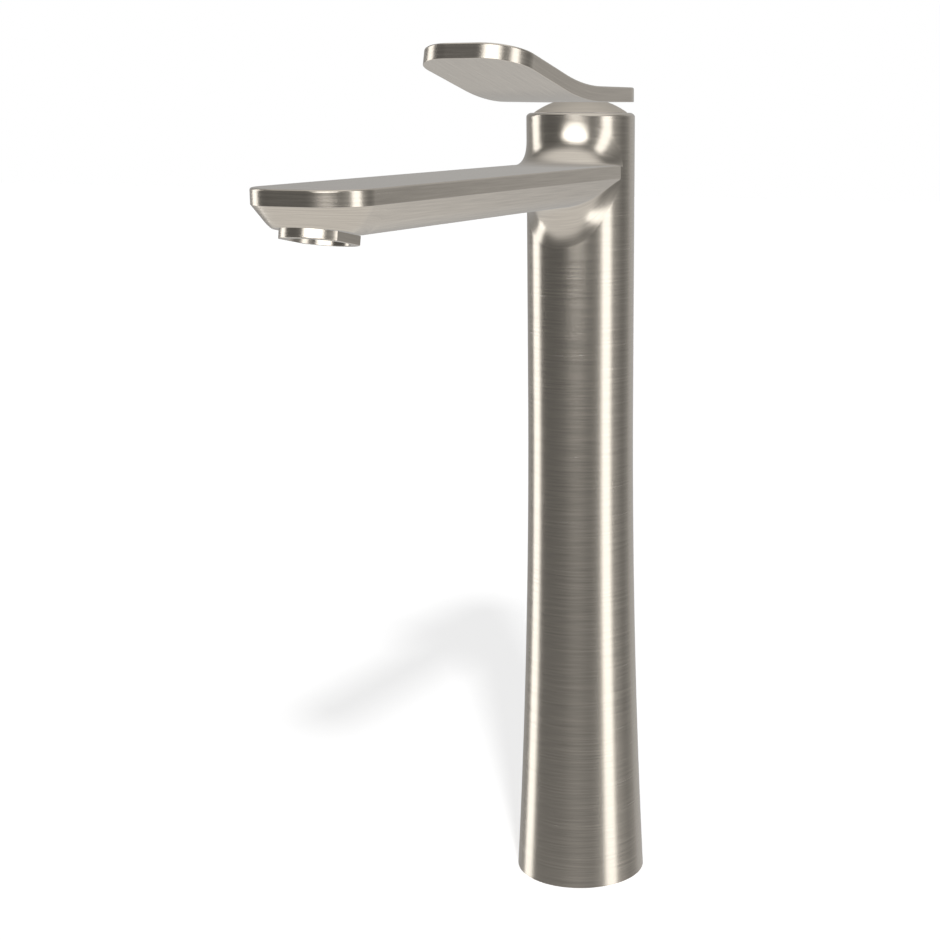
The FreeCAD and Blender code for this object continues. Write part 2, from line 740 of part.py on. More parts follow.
def onTop(edge):
    # edges of the upper face, found by the height of the face above their ends
    for spot in edge.discretize(5):
        forward = -spot.y
        bendEnd = leverFlatEnd.number + insideBend.number * sine(leverSlope).number
        if forward <= leverFlatEnd.number:
            top = leverTopFlat.number
        elif forward <= bendEnd:
            run = forward - leverFlatEnd.number
            top = leverTopFlat.number + insideBend.number - math.sqrt(insideBend.number ** 2 - run * run)
        else:
            tip = tipLow.number + leverThickness.number * cosine(leverSlope).number
            tipRun = leverReach.number - leverThickness.number * sine(leverSlope).number
            top = tip - (tipRun - forward) * math.tan(math.radians(leverSlope.number))
        if abs(spot.z - top) > 0.02:
            return False
    return True


def outerEdge(edge):
    # not the seams that cross the upper face from side to side
    flat = edge.BoundBox.YMax - edge.BoundBox.YMin < 0.001
    forward = -edge.BoundBox.YMin
    tipRun = leverReach.number - leverThickness.number * sine(leverSlope).number
    return not flat or forward > tipRun - 0.01 or edge.BoundBox.YMin > leverRear.number - 0.01


leverRound = doc.addObject("Part::Fillet", "lever_round")
leverRound.Base = leverCutPlate
leverRound.Edges = [
    (index + 1, edgeRound.number, edgeRound.number)
    for index, edge in enumerate(leverCutPlate.Shape.Edges) if onTop(edge) and outerEdge(edge)]

domeCentre = leverUnderside - root(domeRadius * domeRadius - domeTopRadius * domeTopRadius)
domeEdge = domeCentre + root(domeRadius * domeRadius - domeEdgeRadius * domeEdgeRadius)
dome = turned("dome", [
    (0, domeEdge - domeSkirt),
    (domeEdgeRadius, domeEdge - domeSkirt),
    (domeEdgeRadius, domeEdge),
    (domeTopRadius, leverUnderside, domeRadius, 1),
    (domeTopRadius, leverUnderside + 1),
    (0, leverUnderside + 1),
])
hollowBend = domeRadius - domeWall
domeHollow = turned("dome_hollow_turn", [
    (0, domeEdge - domeSkirt - 2),
    (domeHollowRadius, domeEdge - domeSkirt - 2),
    (domeHollowRadius, domeCentre + root(hollowBend * hollowBend - domeHollowRadius * domeHollowRadius)),
    (0, domeCentre + hollowBend, hollowBend, 1),
])
boss = box("socket_boss", (-bossHalfWidth, -bossHalfWidth, bossFloor), (bossHalfWidth, bossHalfWidth, leverUnderside + 2))
rib = box("screw_rib", (-ribHalfWidth, tangHalfWidth + socketGap, screwHeight - screwRadius - 1),
          (ribHalfWidth, domeHollowRadius + 3, leverUnderside + 2))
hollowLeft = without("dome_hollow", domeHollow, [boss, rib])
leverOutside = fused("lever_outside", [leverRound, dome])
socketHalf = tangHalfWidth + socketGap
socket = box("tang_socket", (-socketHalf, -socketHalf, bossFloor - 5), (socketHalf, socketHalf, tangTop + socketGap))
screwHole = cylinder("screw_hole", screwRadius + pinGap, domeEdgeRadius, (0, tangHalfWidth + domeEdgeRadius, screwHeight),
                     xAxis, 90)
nodes["lever_handle"] = without("lever_handle", leverOutside, [hollowLeft, socket, screwHole])

stemHead = box("stem_head", (-headHalfWidth, -tangHalfWidth, neckTop - 1.5), (headHalfWidth, tangHalfWidth, bossFloor))
stemTang = box("stem_tang", (-tangHalfWidth, -tangHalfWidth, bossFloor - 0.5), (tangHalfWidth, tangHalfWidth, tangTop))
stemNeck = cylinder("stem_neck", stemRadius, ballDrop, (0, armX, ballLevel), xAxis, liftAngle / 2)
ball = doc.addObject("Part::Sphere", "stem_ball")
ball.setExpression("Radius", ballRadius.text)
place(ball, (0, armX, ballLevel))
stemOutside = fused("stem_outside", [stemHead, stemTang, stemNeck, ball])
stemHole = cylinder("stem_hole", pinRadius + pinGap, headHalfWidth * 3,
                    (-headHalfWidth * 1.5, 0, pivotHeight), vector(0, 1, 0), 90)
nodes["lever_stem"] = without("lever_stem", stemOutside, [stemHole])
screwBlank = cylinder("screw_blank", screwRadius, screwLength, (0, tangHalfWidth + screwLength, screwHeight), xAxis, 90)
keyHole = doc.addObject("Part::Prism", "screw_key_hole")
keyHole.Polygon = 6
keyHole.setExpression("Circumradius", (screwSocket * 1.15).text)
keyHole.setExpression("Height", (screwLength / 2 + 1).text)
place(keyHole, (0, tangHalfWidth + screwLength + 1, screwHeight), xAxis, 90)
nodes["lever_set_screw"] = without("lever_set_screw", screwBlank, [keyHole])

# Aerator in its tilted frame at the outlet.
shankRadius = aeratorPocketRadius - threadGap
lipRadius = aeratorRadius - aeratorLip
shankTop = aeratorCollar + aeratorPocketDepth - washerThickness
toothLevel = aeratorRecess + 1.2
housingBlank = turned("aerator_blank", [
    (lipRadius, 0),
    (aeratorRadius, 0),
    (aeratorRadius, aeratorCollar),
    (shankRadius, aeratorCollar),
    (shankRadius, shankTop),
    (aeratorBore, shankTop),
    (aeratorBore, toothLevel),
    (lipRadius - 1.2, toothLevel),
    (lipRadius - 1.2, aeratorRecess),
    (lipRadius, aeratorRecess),
])
atOutlet(housingBlank, 0, 0, 0)
flats = []
for side, x in (("left", -aeratorFlat - 3), ("right", aeratorFlat)):
    flat = doc.addObject("Part::Box", f"{side}_flat")
    flat.setExpression("Length", "3")
    flat.setExpression("Width", (aeratorRadius * 2).text)
    flat.setExpression("Height", (aeratorCollar + 0.5).text)
    atOutlet(flat, x, -aeratorRadius, -0.5)
    flats.append(flat)
teeth = []
toothCount = 18
for index in range(toothCount):
    turn = 360 / toothCount * index
    notch = doc.addObject("Part::Box", f"notch_{index}")
    notch.setExpression("Length", (lipRadius - 0.2).text)
    notch.Width = 1.6
    notch.setExpression("Height", (toothLevel - aeratorRecess + 0.4).text)
    notch.Placement = FreeCAD.Placement(
        vector(0.8 * math.sin(math.radians(turn)), -0.8 * math.cos(math.radians(turn)), 0),
        FreeCAD.Rotation(vector(0, 0, 1), turn))
    teeth.append(notch)
notches = fused("tooth_notches", teeth)
atOutlet(notches, 0, 0, aeratorRecess - 0.2)
nodes["aerator_housing"] = without("aerator_housing", housingBlank, flats + [notches])
insertOuter = aeratorBore - insertGap
meshLow = shankTop - meshThickness
regulatorBlank = turned("regulator_blank", [
    (0, toothLevel),
    (insertOuter, toothLevel),
    (insertOuter, meshLow),
    (insertOuter - 1.2, meshLow),
    (insertOuter - 1.2, toothLevel + 1.5),
    (0, toothLevel + 1.5),
])
atOutlet(regulatorBlank, 0, 0, 0)
regulatorHoles = []
for index in range(8):
    turn = math.radians(45 * index)
    hole = cylinder(f"regulator_hole_{index}", meshHoleRadius * 1.6, 4)
    atOutlet(hole, asSize(5.2 * math.cos(turn)), asSize(5.2 * math.sin(turn)), toothLevel - 1)
    regulatorHoles.append(hole)
nodes["flow_regulator"] = without("flow_regulator", regulatorBlank, regulatorHoles)
screenBlank = cylinder("screen_blank", insertOuter, meshThickness)
atOutlet(screenBlank, 0, 0, meshLow)
screenHoles = []
for ringIndex, (ringRadius, count) in enumerate(((0, 1), (2.6, 6), (5.2, 12), (7.6, 18))):
    for index in range(count):
        turn = 2 * math.pi * index / count
        hole = cylinder(f"screen_hole_{ringIndex}_{index}", meshHoleRadius, meshThickness + 2)
        atOutlet(hole, asSize(ringRadius * math.cos(turn)), asSize(ringRadius * math.sin(turn)), meshLow - 1)
        screenHoles.append(hole)
nodes["aerator_screen"] = without("aerator_screen", screenBlank, screenHoles)
washerBlank = tube("aerator_washer", aeratorBore - 1.9, shankRadius - 0.1, shankTop, shankTop + washerThickness)
atOutlet(washerBlank, 0, 0, 0)
nodes["aerator_washer"] = washerBlank

doc.recompute()
for item in doc.Objects:
    if "Invalid" in item.State or "Error" in item.State:
        raise RuntimeError(f"{item.Label} did not build: {item.State}")
for name, item in nodes.items():
    shape = item.Shape
    if shape.isNull() or not shape.isValid() or not shape.Solids:
        raise RuntimeError(f"{name} has no valid solid")
    if item.Label != name:
        raise RuntimeError(f"{name} is labelled {item.Label}")
    shape.exportStep(f"parts/{name}.step")
    bounds = shape.BoundBox
    print(f"{name}: {len(shape.Solids)} solid, {shape.Volume:.0f} mm3, "
          f"z {bounds.ZMin:.2f} to {bounds.ZMax:.2f}")
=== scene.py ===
import json
import math

import bpy
import numpy as np
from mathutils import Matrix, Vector


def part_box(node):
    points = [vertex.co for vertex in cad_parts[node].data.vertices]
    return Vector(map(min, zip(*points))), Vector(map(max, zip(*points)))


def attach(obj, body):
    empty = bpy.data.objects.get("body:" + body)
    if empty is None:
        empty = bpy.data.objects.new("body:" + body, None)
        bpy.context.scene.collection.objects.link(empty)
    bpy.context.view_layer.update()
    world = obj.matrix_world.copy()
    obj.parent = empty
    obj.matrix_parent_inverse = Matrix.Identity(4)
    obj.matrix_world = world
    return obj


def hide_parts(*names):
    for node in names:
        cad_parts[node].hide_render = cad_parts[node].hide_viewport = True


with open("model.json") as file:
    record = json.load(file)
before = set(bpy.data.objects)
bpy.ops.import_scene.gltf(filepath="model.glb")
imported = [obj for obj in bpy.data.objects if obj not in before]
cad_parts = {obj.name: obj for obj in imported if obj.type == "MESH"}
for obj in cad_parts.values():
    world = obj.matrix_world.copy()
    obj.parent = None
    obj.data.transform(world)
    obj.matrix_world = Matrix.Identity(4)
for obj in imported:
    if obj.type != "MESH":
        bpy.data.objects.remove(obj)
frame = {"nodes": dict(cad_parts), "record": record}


print("frame loaded")


# Camera: in front of the column and to its right, looking slightly down.
camera = {
    "place": (0.3066, -0.6604, 0.3310),
    "turn": 24.9,
    "pitch": 11.65,
    "lens": 65.9,
    "shift": -0.1178,
    "sensor": 36,
    "farthest": 20,
}


def direction(azimuth, elevation=0.0):
    # a unit vector, with the azimuth counted from the camera's side towards the picture's right
    angle = math.radians(azimuth)
    turn = math.radians(camera["turn"])
    towards = Vector((math.sin(turn), -math.cos(turn), 0))
    right = Vector((math.cos(turn), math.sin(turn), 0))
    flat = towards * math.cos(angle) + right * math.sin(angle)
    rise = math.radians(elevation)
    return flat * math.cos(rise) + Vector((0, 0, math.sin(rise)))


def buildCamera():
    data = bpy.data.cameras.new("camera")
    data.lens = camera["lens"]
    data.sensor_width = camera["sensor"]
    data.shift_x = camera["shift"]
    data.clip_end = camera["farthest"]
    item = bpy.data.objects.new("camera", data)
    item.location = camera["place"]
    item.rotation_euler = (math.radians(90 - camera["pitch"]), 0, math.radians(camera["turn"]))
    bpy.context.scene.collection.objects.link(item)
    bpy.context.scene.camera = item
    bpy.context.scene.view_settings.view_transform = "Standard"


buildCamera()
print("camera placed")


# Studio cards, each seen from the neck of the column at an azimuth and between two elevations.
# They light no diffuse surface, so the floor stays even.
cards = [
    {"name": "leftCard", "azimuth": -110, "spread": 24, "low": -34, "high": 34,
     "distance": 1.6, "level": 1.8},
    {"name": "rightCard", "azimuth": 57, "spread": 23, "low": -34, "high": 34,
     "distance": 1.6, "level": 1.75},
]
neckHeight = 0.31
# An oval light in front and above, mirrored as the white spot on the column's neck.
ovalLight = {"azimuth": -10, "elevation": 17.5, "spread": 56, "flatness": 0.5, "distance": 1.9, "level": 3.0}
# The sun lights the floor and casts the soft shadow; the metal doesn't mirror it.
sun = {"azimuth": 9, "elevation": 39, "softness": 5, "strength": 1.1}


def areaLight(name, centre, away, distance, width, height, power):
    data = bpy.data.lights.new(name, "AREA")
    data.shape = "RECTANGLE"
    data.size = width
    data.size_y = height
    data.energy = power
    item = bpy.data.objects.new(name, data)
    item.location = centre + away * distance
    item.rotation_euler = (-away).to_track_quat("-Z", "Y").to_euler()
    bpy.context.scene.collection.objects.link(item)
    return item


def buildLights():
    centre = Vector((0, 0, neckHeight))
    for card in cards:
        low = card["distance"] * math.tan(math.radians(card["low"]))
        high = card["distance"] * math.tan(math.radians(card["high"]))
        width = 2 * card["distance"] * math.tan(math.radians(card["spread"] / 2))
        power = card["level"] * width * (high - low) * math.pi
        item = areaLight(card["name"], centre, direction(card["azimuth"]), card["distance"],
                         width, high - low, power)
        item.location.z += (low + high) / 2
        item.visible_diffuse = False
    width = 2 * ovalLight["distance"] * math.tan(math.radians(ovalLight["spread"] / 2))
    height = width * ovalLight["flatness"]
    power = ovalLight["level"] * math.pi ** 2 * width * height / 4
    item = areaLight("ovalLight", centre, direction(ovalLight["azimuth"], ovalLight["elevation"]),
                     ovalLight["distance"], width, height, power)
    item.data.shape = "ELLIPSE"
    item.visible_diffuse = False
    data = bpy.data.lights.new("sun", "SUN")
    data.angle = math.radians(sun["softness"])
    data.energy = sun["strength"]
    item = bpy.data.objects.new("sun", data)
    item.rotation_euler = (-direction(sun["azimuth"], sun["elevation"])).to_track_quat("-Z", "Y").to_euler()
    item.visible_glossy = False
    bpy.context.scene.collection.objects.link(item)


buildLights()
print("lights placed")


# What the metal mirrors between the cards: levels by azimuth, then levels that take over downwards
# and upwards, each with the heights of the direction at which it starts and is full. Other rays see
# an even grey, and the camera sees white.
surround = {
    "stops": [(-180, 0.50), (-146, 0.34), (-128, 0.20), (-88, 0.13), (-40, 0.14), (-8, 0.22), (22, 0.16),
              (40, 0.30), (78, 0.34), (102, 0.19), (120, 0.30), (131, 0.52), (150, 0.54), (180, 0.50)],
    "levels": [(0.50, 0.0, -1.6), (0.80, -0.36, -0.60), (0.92, 0.62, 0.92)],
    "plain": 0.29,
    "backdrop": 1.0,
    "strength": 1.0,
}


def buildWorld():
    world = bpy.data.worlds.new("studio")
    world.use_nodes = True
    bpy.context.scene.world = world
    nodes, links = world.node_tree.nodes, world.node_tree.links
    nodes.clear()
    output = nodes.new("ShaderNodeOutputWorld")
    coords = nodes.new("ShaderNodeTexCoord")
    turn = nodes.new("ShaderNodeVectorRotate")
    turn.rotation_type = "Z_AXIS"
    turn.inputs["Angle"].default_value = math.radians(90 - camera["turn"])
    split = nodes.new("ShaderNodeSeparateXYZ")
    angle = nodes.new("ShaderNodeMath")
    angle.operation = "ARCTAN2"
    spread = nodes.new("ShaderNodeMapRange")
    spread.inputs["From Min"].default_value = -math.pi
    spread.inputs["From Max"].default_value = math.pi
    ramp = nodes.new("ShaderNodeValToRGB")
    ramp.color_ramp.interpolation = "EASE"
    marks = ramp.color_ramp.elements
    while len(marks) > 1:
        marks.remove(marks[-1])
    for index, (azimuth, level) in enumerate(surround["stops"]):
        position = (azimuth + 180) / 360
        mark = marks[0] if index == 0 else marks.new(position)
        mark.position = position
        mark.color = (level, level, level, 1)
    colour = ramp.outputs["Color"]
    for level, start, end in surround["levels"]:
        reach = nodes.new("ShaderNodeMapRange")
        reach.interpolation_type = "SMOOTHSTEP"
        reach.inputs["From Min"].default_value = start
        reach.inputs["From Max"].default_value = end
        blended = nodes.new("ShaderNodeMix")
        blended.data_type = "RGBA"
        blended.inputs["B"].default_value = (level, level, level, 1)
        links.new(split.outputs["Z"], reach.inputs["Value"])
        links.new(reach.outputs["Result"], blended.inputs["Factor"])
        links.new(colour, blended.inputs["A"])
        colour = blended.outputs["Result"]
    mirrored = nodes.new("ShaderNodeBackground")
    mirrored.inputs["Strength"].default_value = surround["strength"]
    white = nodes.new("ShaderNodeBackground")
    white.inputs["Color"].default_value = (surround["backdrop"],) * 3 + (1,)
    plain = nodes.new("ShaderNodeBackground")
    plain.inputs["Color"].default_value = (surround["plain"],) * 3 + (1,)
    path = nodes.new("ShaderNodeLightPath")
    lit = nodes.new("ShaderNodeMixShader")
    mix = nodes.new("ShaderNodeMixShader")
    links.new(path.outputs["Is Glossy Ray"], lit.inputs["Fac"])
    links.new(plain.outputs["Background"], lit.inputs[1])
    links.new(mirrored.outputs["Background"], lit.inputs[2])
    links.new(coords.outputs["Generated"], turn.inputs["Vector"])
    links.new(turn.outputs["Vector"], split.inputs["Vector"])
    links.new(split.outputs["Y"], angle.inputs[0])
    links.new(split.outputs["X"], angle.inputs[1])
    links.new(angle.outputs["Value"], spread.inputs["Value"])
    links.new(spread.outputs["Result"], ramp.inputs["Fac"])
    links.new(colour, mirrored.inputs["Color"])
    links.new(path.outputs["Is Camera Ray"], mix.inputs["Fac"])
    links.new(lit.outputs["Shader"], mix.inputs[1])
    links.new(white.outputs["Background"], mix.inputs[2])
    links.new(mix.outputs["Shader"], output.inputs["Surface"])


buildWorld()
print("world built")


floorSheet = {"size": 12, "colour": 0.93, "glow": 0.57}


def buildFloor():
    bpy.ops.mesh.primitive_plane_add(size=floorSheet["size"], location=(0, 0, 0))
    floor = bpy.context.object
    floor.name = "floor"
    material = bpy.data.materials.new("floorPaper")
    material.use_nodes = True
    shader = material.node_tree.nodes["Principled BSDF"]
    shader.inputs["Base Color"].default_value = (floorSheet["colour"],) * 3 + (1,)
    shader.inputs["Roughness"].default_value = 1
    shader.inputs["Specular IOR Level"].default_value = 0
    shader.inputs["Emission Color"].default_value = (1, 1, 1, 1)
    shader.inputs["Emission Strength"].default_value = floorSheet["glow"]
    floor.data.materials.append(material)
    floor.visible_glossy = False
    floor.visible_shadow = False


buildFloor()
print("floor laid")


# Finishes. Brushing runs along U of a piece's own map, whose units are millimetres.
bumpDepth = 0.0002
nickel = {
    "tint": (0.62, 0.568, 0.495),
    "roughness": 0.25,
    "roughnessSpread": 0.03,
    "anisotropic": 0.2,
    "streakWidth": 0.7,
    "streakLength": 22.0,
    "fineShare": 0.85,
    "broadLength": 0.35,
    "broadWidth": 0.22,
    "turn": 0.25,
    "tone": 0.11,
    "bump": 0.035,
}
satin = dict(nickel, roughness=0.55, anisotropic=0.0, bump=0.01)


def newMaterial(name):
    material = bpy.data.materials.new(name)
    material.use_nodes = True
    return material, material.node_tree.nodes, material.node_tree.links


def scaledNoise(nodes, links, source, scale, detail):
    mapping = nodes.new("ShaderNodeMapping")
    mapping.inputs["Scale"].default_value = scale
    links.new(source, mapping.inputs["Vector"])
    noise = nodes.new("ShaderNodeTexNoise")
    noise.inputs["Scale"].default_value = 1
    noise.inputs["Detail"].default_value = detail
    links.new(mapping.outputs["Vector"], noise.inputs["Vector"])
    return noise.outputs["Fac"]


def mapRange(nodes, links, source, low, high, fromLow=0.25, fromHigh=0.75):
    spread = nodes.new("ShaderNodeMapRange")
    spread.inputs["From Min"].default_value = fromLow
    spread.inputs["From Max"].default_value = fromHigh
    spread.inputs["To Min"].default_value = low
    spread.inputs["To Max"].default_value = high
    links.new(source, spread.inputs["Value"])
    return spread.outputs["Result"]


def brushedMetal(name, recipe):
    material, nodes, links = newMaterial(name)
    shader = nodes["Principled BSDF"]
    shader.inputs["Metallic"].default_value = 1
    shader.inputs["Anisotropic"].default_value = recipe["anisotropic"]
    shader.inputs["Anisotropic Rotation"].default_value = recipe["turn"]
    grain = nodes.new("ShaderNodeUVMap")
    grain.uv_map = "grain"
    tangent = nodes.new("ShaderNodeTangent")
    tangent.direction_type = "UV_MAP"
    tangent.uv_map = "grain"
    links.new(tangent.outputs["Tangent"], shader.inputs["Tangent"])
    width, length = recipe["streakWidth"], recipe["streakLength"]
    broadScale = (recipe["broadLength"] / length, recipe["broadWidth"] / width, 1)
    fine = scaledNoise(nodes, links, grain.outputs["UV"], (1 / length, 1 / width, 1), 4)
    broad = scaledNoise(nodes, links, grain.outputs["UV"], broadScale, 2)
    smoothest = recipe["roughness"] - recipe["roughnessSpread"]
    roughest = recipe["roughness"] + recipe["roughnessSpread"]
    both = nodes.new("ShaderNodeMath")
    both.operation = "MULTIPLY_ADD"
    both.inputs[1].default_value = recipe["fineShare"]
    links.new(fine, both.inputs[0])
    rest = nodes.new("ShaderNodeMath")
    rest.operation = "MULTIPLY"
    rest.inputs[1].default_value = 1 - recipe["fineShare"]
    links.new(broad, rest.inputs[0])
    links.new(rest.outputs["Value"], both.inputs[2])
    links.new(mapRange(nodes, links, both.outputs["Value"], smoothest, roughest), shader.inputs["Roughness"])
    tone = mapRange(nodes, links, both.outputs["Value"], 1 - recipe["tone"], 1 + recipe["tone"])
    tinted = nodes.new("ShaderNodeVectorMath")
    tinted.operation = "SCALE"
    tinted.inputs[0].default_value = recipe["tint"]
    links.new(tone, tinted.inputs["Scale"])
    links.new(tinted.outputs["Vector"], shader.inputs["Base Color"])
    bump = nodes.new("ShaderNodeBump")
    bump.inputs["Strength"].default_value = recipe["bump"]
    bump.inputs["Distance"].default_value = bumpDepth
    links.new(fine, bump.inputs["Height"])
    links.new(bump.outputs["Normal"], shader.inputs["Normal"])
    return material


plainFinishes = {
    "stainless": {"tint": (0.56, 0.55, 0.53), "metallic": 1, "roughness": 0.28,
                  "speckle": 260, "bump": 0.10},
    "brass": {"tint": (0.72, 0.52, 0.26), "metallic": 1, "roughness": 0.32,
              "speckle": 220, "bump": 0.12},
    "ceramic": {"tint": (0.86, 0.85, 0.82), "metallic": 0, "roughness": 0.16,
                "speckle": 420, "bump": 0.04},
    "white_plastic": {"tint": (0.78, 0.78, 0.76), "metallic": 0, "roughness": 0.42,
                      "speckle": 520, "bump": 0.10},
    "grey_plastic": {"tint": (0.30, 0.30, 0.31), "metallic": 0, "roughness": 0.45,
                     "speckle": 520, "bump": 0.12},
    "black_rubber": {"tint": (0.025, 0.025, 0.026), "metallic": 0, "roughness": 0.62,
                     "speckle": 700, "bump": 0.20},
}
plainSpread = {"roughness": 0.06, "darkest": 0.94, "lightest": 1.05, "cloudSize": 6}


def plainFinish(name, recipe):
    material, nodes, links = newMaterial(name)
    shader = nodes["Principled BSDF"]
    shader.inputs["Metallic"].default_value = recipe["metallic"]
    coords = nodes.new("ShaderNodeTexCoord")
    grain = scaledNoise(nodes, links, coords.outputs["Object"], (recipe["speckle"],) * 3, 5)
    cloudScale = recipe["speckle"] / plainSpread["cloudSize"]
    cloud = scaledNoise(nodes, links, coords.outputs["Object"], (cloudScale,) * 3, 3)
    smoothest = recipe["roughness"] - plainSpread["roughness"]
    roughest = recipe["roughness"] + plainSpread["roughness"]
    links.new(mapRange(nodes, links, grain, smoothest, roughest), shader.inputs["Roughness"])
    tinted = nodes.new("ShaderNodeVectorMath")
    tinted.operation = "SCALE"
    tinted.inputs[0].default_value = recipe["tint"]
    tone = mapRange(nodes, links, cloud, plainSpread["darkest"], plainSpread["lightest"])
    links.new(tone, tinted.inputs["Scale"])
    links.new(tinted.outputs["Vector"], shader.inputs["Base Color"])
    bump = nodes.new("ShaderNodeBump")
    bump.inputs["Strength"].default_value = recipe["bump"]
    bump.inputs["Distance"].default_value = bumpDepth
    links.new(grain, bump.inputs["Height"])
    links.new(bump.outputs["Normal"], shader.inputs["Normal"])
    return material


brushedNickel = brushedMetal("brushedNickel", nickel)
satinNickel = brushedMetal("satinNickel", satin)
finishes = {name: plainFinish(name + "Finish", recipe) for name, recipe in plainFinishes.items()}
finishes["brushed_nickel"] = brushedNickel
finishes["aerator_metal"] = brushedNickel
for material in frame["record"]["materials"]:
    finish = finishes[material["slot"]]
    for item in frame["nodes"].values():
        for slot in item.material_slots:
            if slot.material and slot.material.name.split(".")[0] == material["slot"]:
                slot.material = finish
# As in the photo, the metal mirrors the studio and not the other pieces.
for item in frame["nodes"].values():
    item.visible_glossy = False
print("finishes made")


# Surfaces are laid out as grids of points in millimetres, with their normals and a map of the brushing.
# A normal comes from two short steps, each this share of the whole grid.
normalStep = 1e-3


def patch(place, across, along, flip=False, grain=None):
    across, along = np.asarray(across, float), np.asarray(along, float)
    u, v = np.meshgrid(across, along, indexing="ij")
    spanU, spanV = across[-1] - across[0], along[-1] - along[0]
    stepU, stepV = spanU * normalStep, spanV * normalStep
    insideU = np.clip(u, across.min() + 2 * abs(stepU), across.max() - 2 * abs(stepU))
    insideV = np.clip(v, along.min() + 2 * abs(stepV), along.max() - 2 * abs(stepV))
    alongU = place(insideU + stepU, insideV) - place(insideU - stepU, insideV)
    alongV = place(insideU, insideV + stepV) - place(insideU, insideV - stepV)
    normals = np.cross(alongU, alongV)
    normals /= np.maximum(np.linalg.norm(normals, axis=-1, keepdims=True), 1e-12)
    points = place(u, v)
    if grain is None:
        rowU = np.linalg.norm(np.diff(points, axis=0), axis=-1).mean(axis=1)
        rowV = np.linalg.norm(np.diff(points, axis=1), axis=-1).mean(axis=0)
        lengthU, lengthV = np.r_[0, np.cumsum(rowU)], np.r_[0, np.cumsum(rowV)]
        map2d = np.stack(np.meshgrid(lengthU, lengthV, indexing="ij"), axis=-1)
    else:
        map2d = np.stack(grain(points), axis=-1)
    return {"points": points, "normals": -normals if flip else normals, "map": map2d, "flip": flip}


def stacked(*parts):
    return np.stack(np.broadcast_arrays(*parts), axis=-1)


def joined(name, patches, material):
    # one mesh from several patches: shared points are merged, each corner keeps its patch's normal and map
    spots, keys, faces, cornerNormals, cornerMap = [], {}, [], [], []
    for piece in patches:
        rows, columns = piece["points"].shape[:2]
        index = np.empty((rows, columns), int)
        for i in range(rows):
            for j in range(columns):
                point = piece["points"][i, j]
                key = tuple(np.round(point, 4))
                if key not in keys:
                    keys[key] = len(spots)
                    spots.append(point / 1000)
                index[i, j] = keys[key]
        for i in range(rows - 1):
            for j in range(columns - 1):
                corners = [(i, j), (i + 1, j), (i + 1, j + 1), (i, j + 1)]
                if piece["flip"]:
                    corners.reverse()
                loop = []
                for corner in corners:
                    if not loop or index[corner] != index[loop[-1]]:
                        loop.append(corner)
                if len(loop) > 1 and index[loop[0]] == index[loop[-1]]:
                    loop.pop()
                if len(loop) < 3:
                    continue
                faces.append([index[corner] for corner in loop])
                cornerNormals += [piece["normals"][corner] for corner in loop]
                cornerMap += [piece["map"][corner] for corner in loop]
    mesh = bpy.data.meshes.new(name)
    mesh.from_pydata(spots, [], faces)
    mesh.uv_layers.new(name="grain")
    mesh.uv_layers["grain"].data.foreach_set("uv", np.asarray(cornerMap, np.float32).ravel())
    mesh.polygons.foreach_set("use_smooth", [True] * len(mesh.polygons))
    mesh.normals_split_custom_set([tuple(normal) for normal in cornerNormals])
    mesh.materials.append(material)
    mesh.update()
    item = bpy.data.objects.new(name, mesh)
    bpy.context.scene.collection.objects.link(item)
    return item


def lathe(profile, around, turnFrom=0.0, turnTo=360.0):
    # a patch turned about the vertical axis; profile(v) gives radius and height
    def place(u, v):
        radius, height = profile(v)
        angle = np.radians(u)
        return stacked(radius * np.cos(angle), radius * np.sin(angle), height)
    return lambda rows: patch(place, np.linspace(turnFrom, turnTo, around + 1), rows)


def straight(start, end):
    return lambda v: (start[0] + (end[0] - start[0]) * v, start[1] + (end[1] - start[1]) * v)


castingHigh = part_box("body_casting")[1] * 1000

# Column, with its flare towards the foot, the eased rim and the bores that the cartridge sits in.
column = {
    "radius": 22.5,
    "footRadius": castingHigh.x,
    "flareHeight": 215,
    "top": castingHigh.z,
    "rimWidth": 2.2,
    "rimDrop": 1.4,
    "bores": [(20.0, 16.0), (17.9, 57.0), (16.5, 324.0)],  # radius and depth of each, from the top
    "counterbore": (18.0, 8.0),  # radius and height, from the foot
    "groove": (23.4, 26.1, 1.5),  # both radii and the height
    "around": 480,
}


def columnPatches():
    radius, foot, flare, top = column["radius"], column["footRadius"], column["flareHeight"], column["top"]
    spread = foot - radius
    bend = (flare ** 2 + spread ** 2) / (2 * spread)
    rimWidth, rimDrop = column["rimWidth"], column["rimDrop"]
    rimBend = (rimWidth ** 2 + rimDrop ** 2) / (2 * rimDrop)
    rimAngle = math.asin(rimWidth / rimBend)
    edge = radius - rimWidth

    def flareProfile(v):
        height = flare * v
        return radius + bend - np.sqrt(bend ** 2 - (flare - height) ** 2), height

    def rimProfile(v):
        angle = rimAngle * (1 - v)
        return edge + rimBend * np.sin(angle), top - rimBend * (1 - np.cos(angle))

    wallTop = top - rimDrop
    outside = lambda v: (np.where(v < 1, flareProfile(np.minimum(v, 1))[0], radius),
                         np.where(v < 1, flare * v, flare + (wallTop - flare) * (v - 1)))
    groove, counterbore = column["groove"], column["counterbore"]
    line = [(edge, top), (column["bores"][0][0], top)]
    for boreRadius, depth in column["bores"]:
        line += [(boreRadius, line[-1][1]), (boreRadius, top - depth)] if line[-1][0] != boreRadius else [
            (boreRadius, top - depth)]
    line += [(counterbore[0], counterbore[1]), (counterbore[0], 0), (groove[0], 0), (groove[0], groove[2]),
             (groove[1], groove[2]), (groove[1], 0), (foot, 0)]
    around = column["around"]
    patches = [lathe(outside, around)(np.r_[np.linspace(0, 1, 49), np.linspace(1, 2, 13)[1:]]),
               lathe(rimProfile, around)(np.linspace(0, 1, 9))]
    for start, end in zip(line, line[1:]):
        patches.append(lathe(straight(start, end), around)([0, 1]))
    return patches


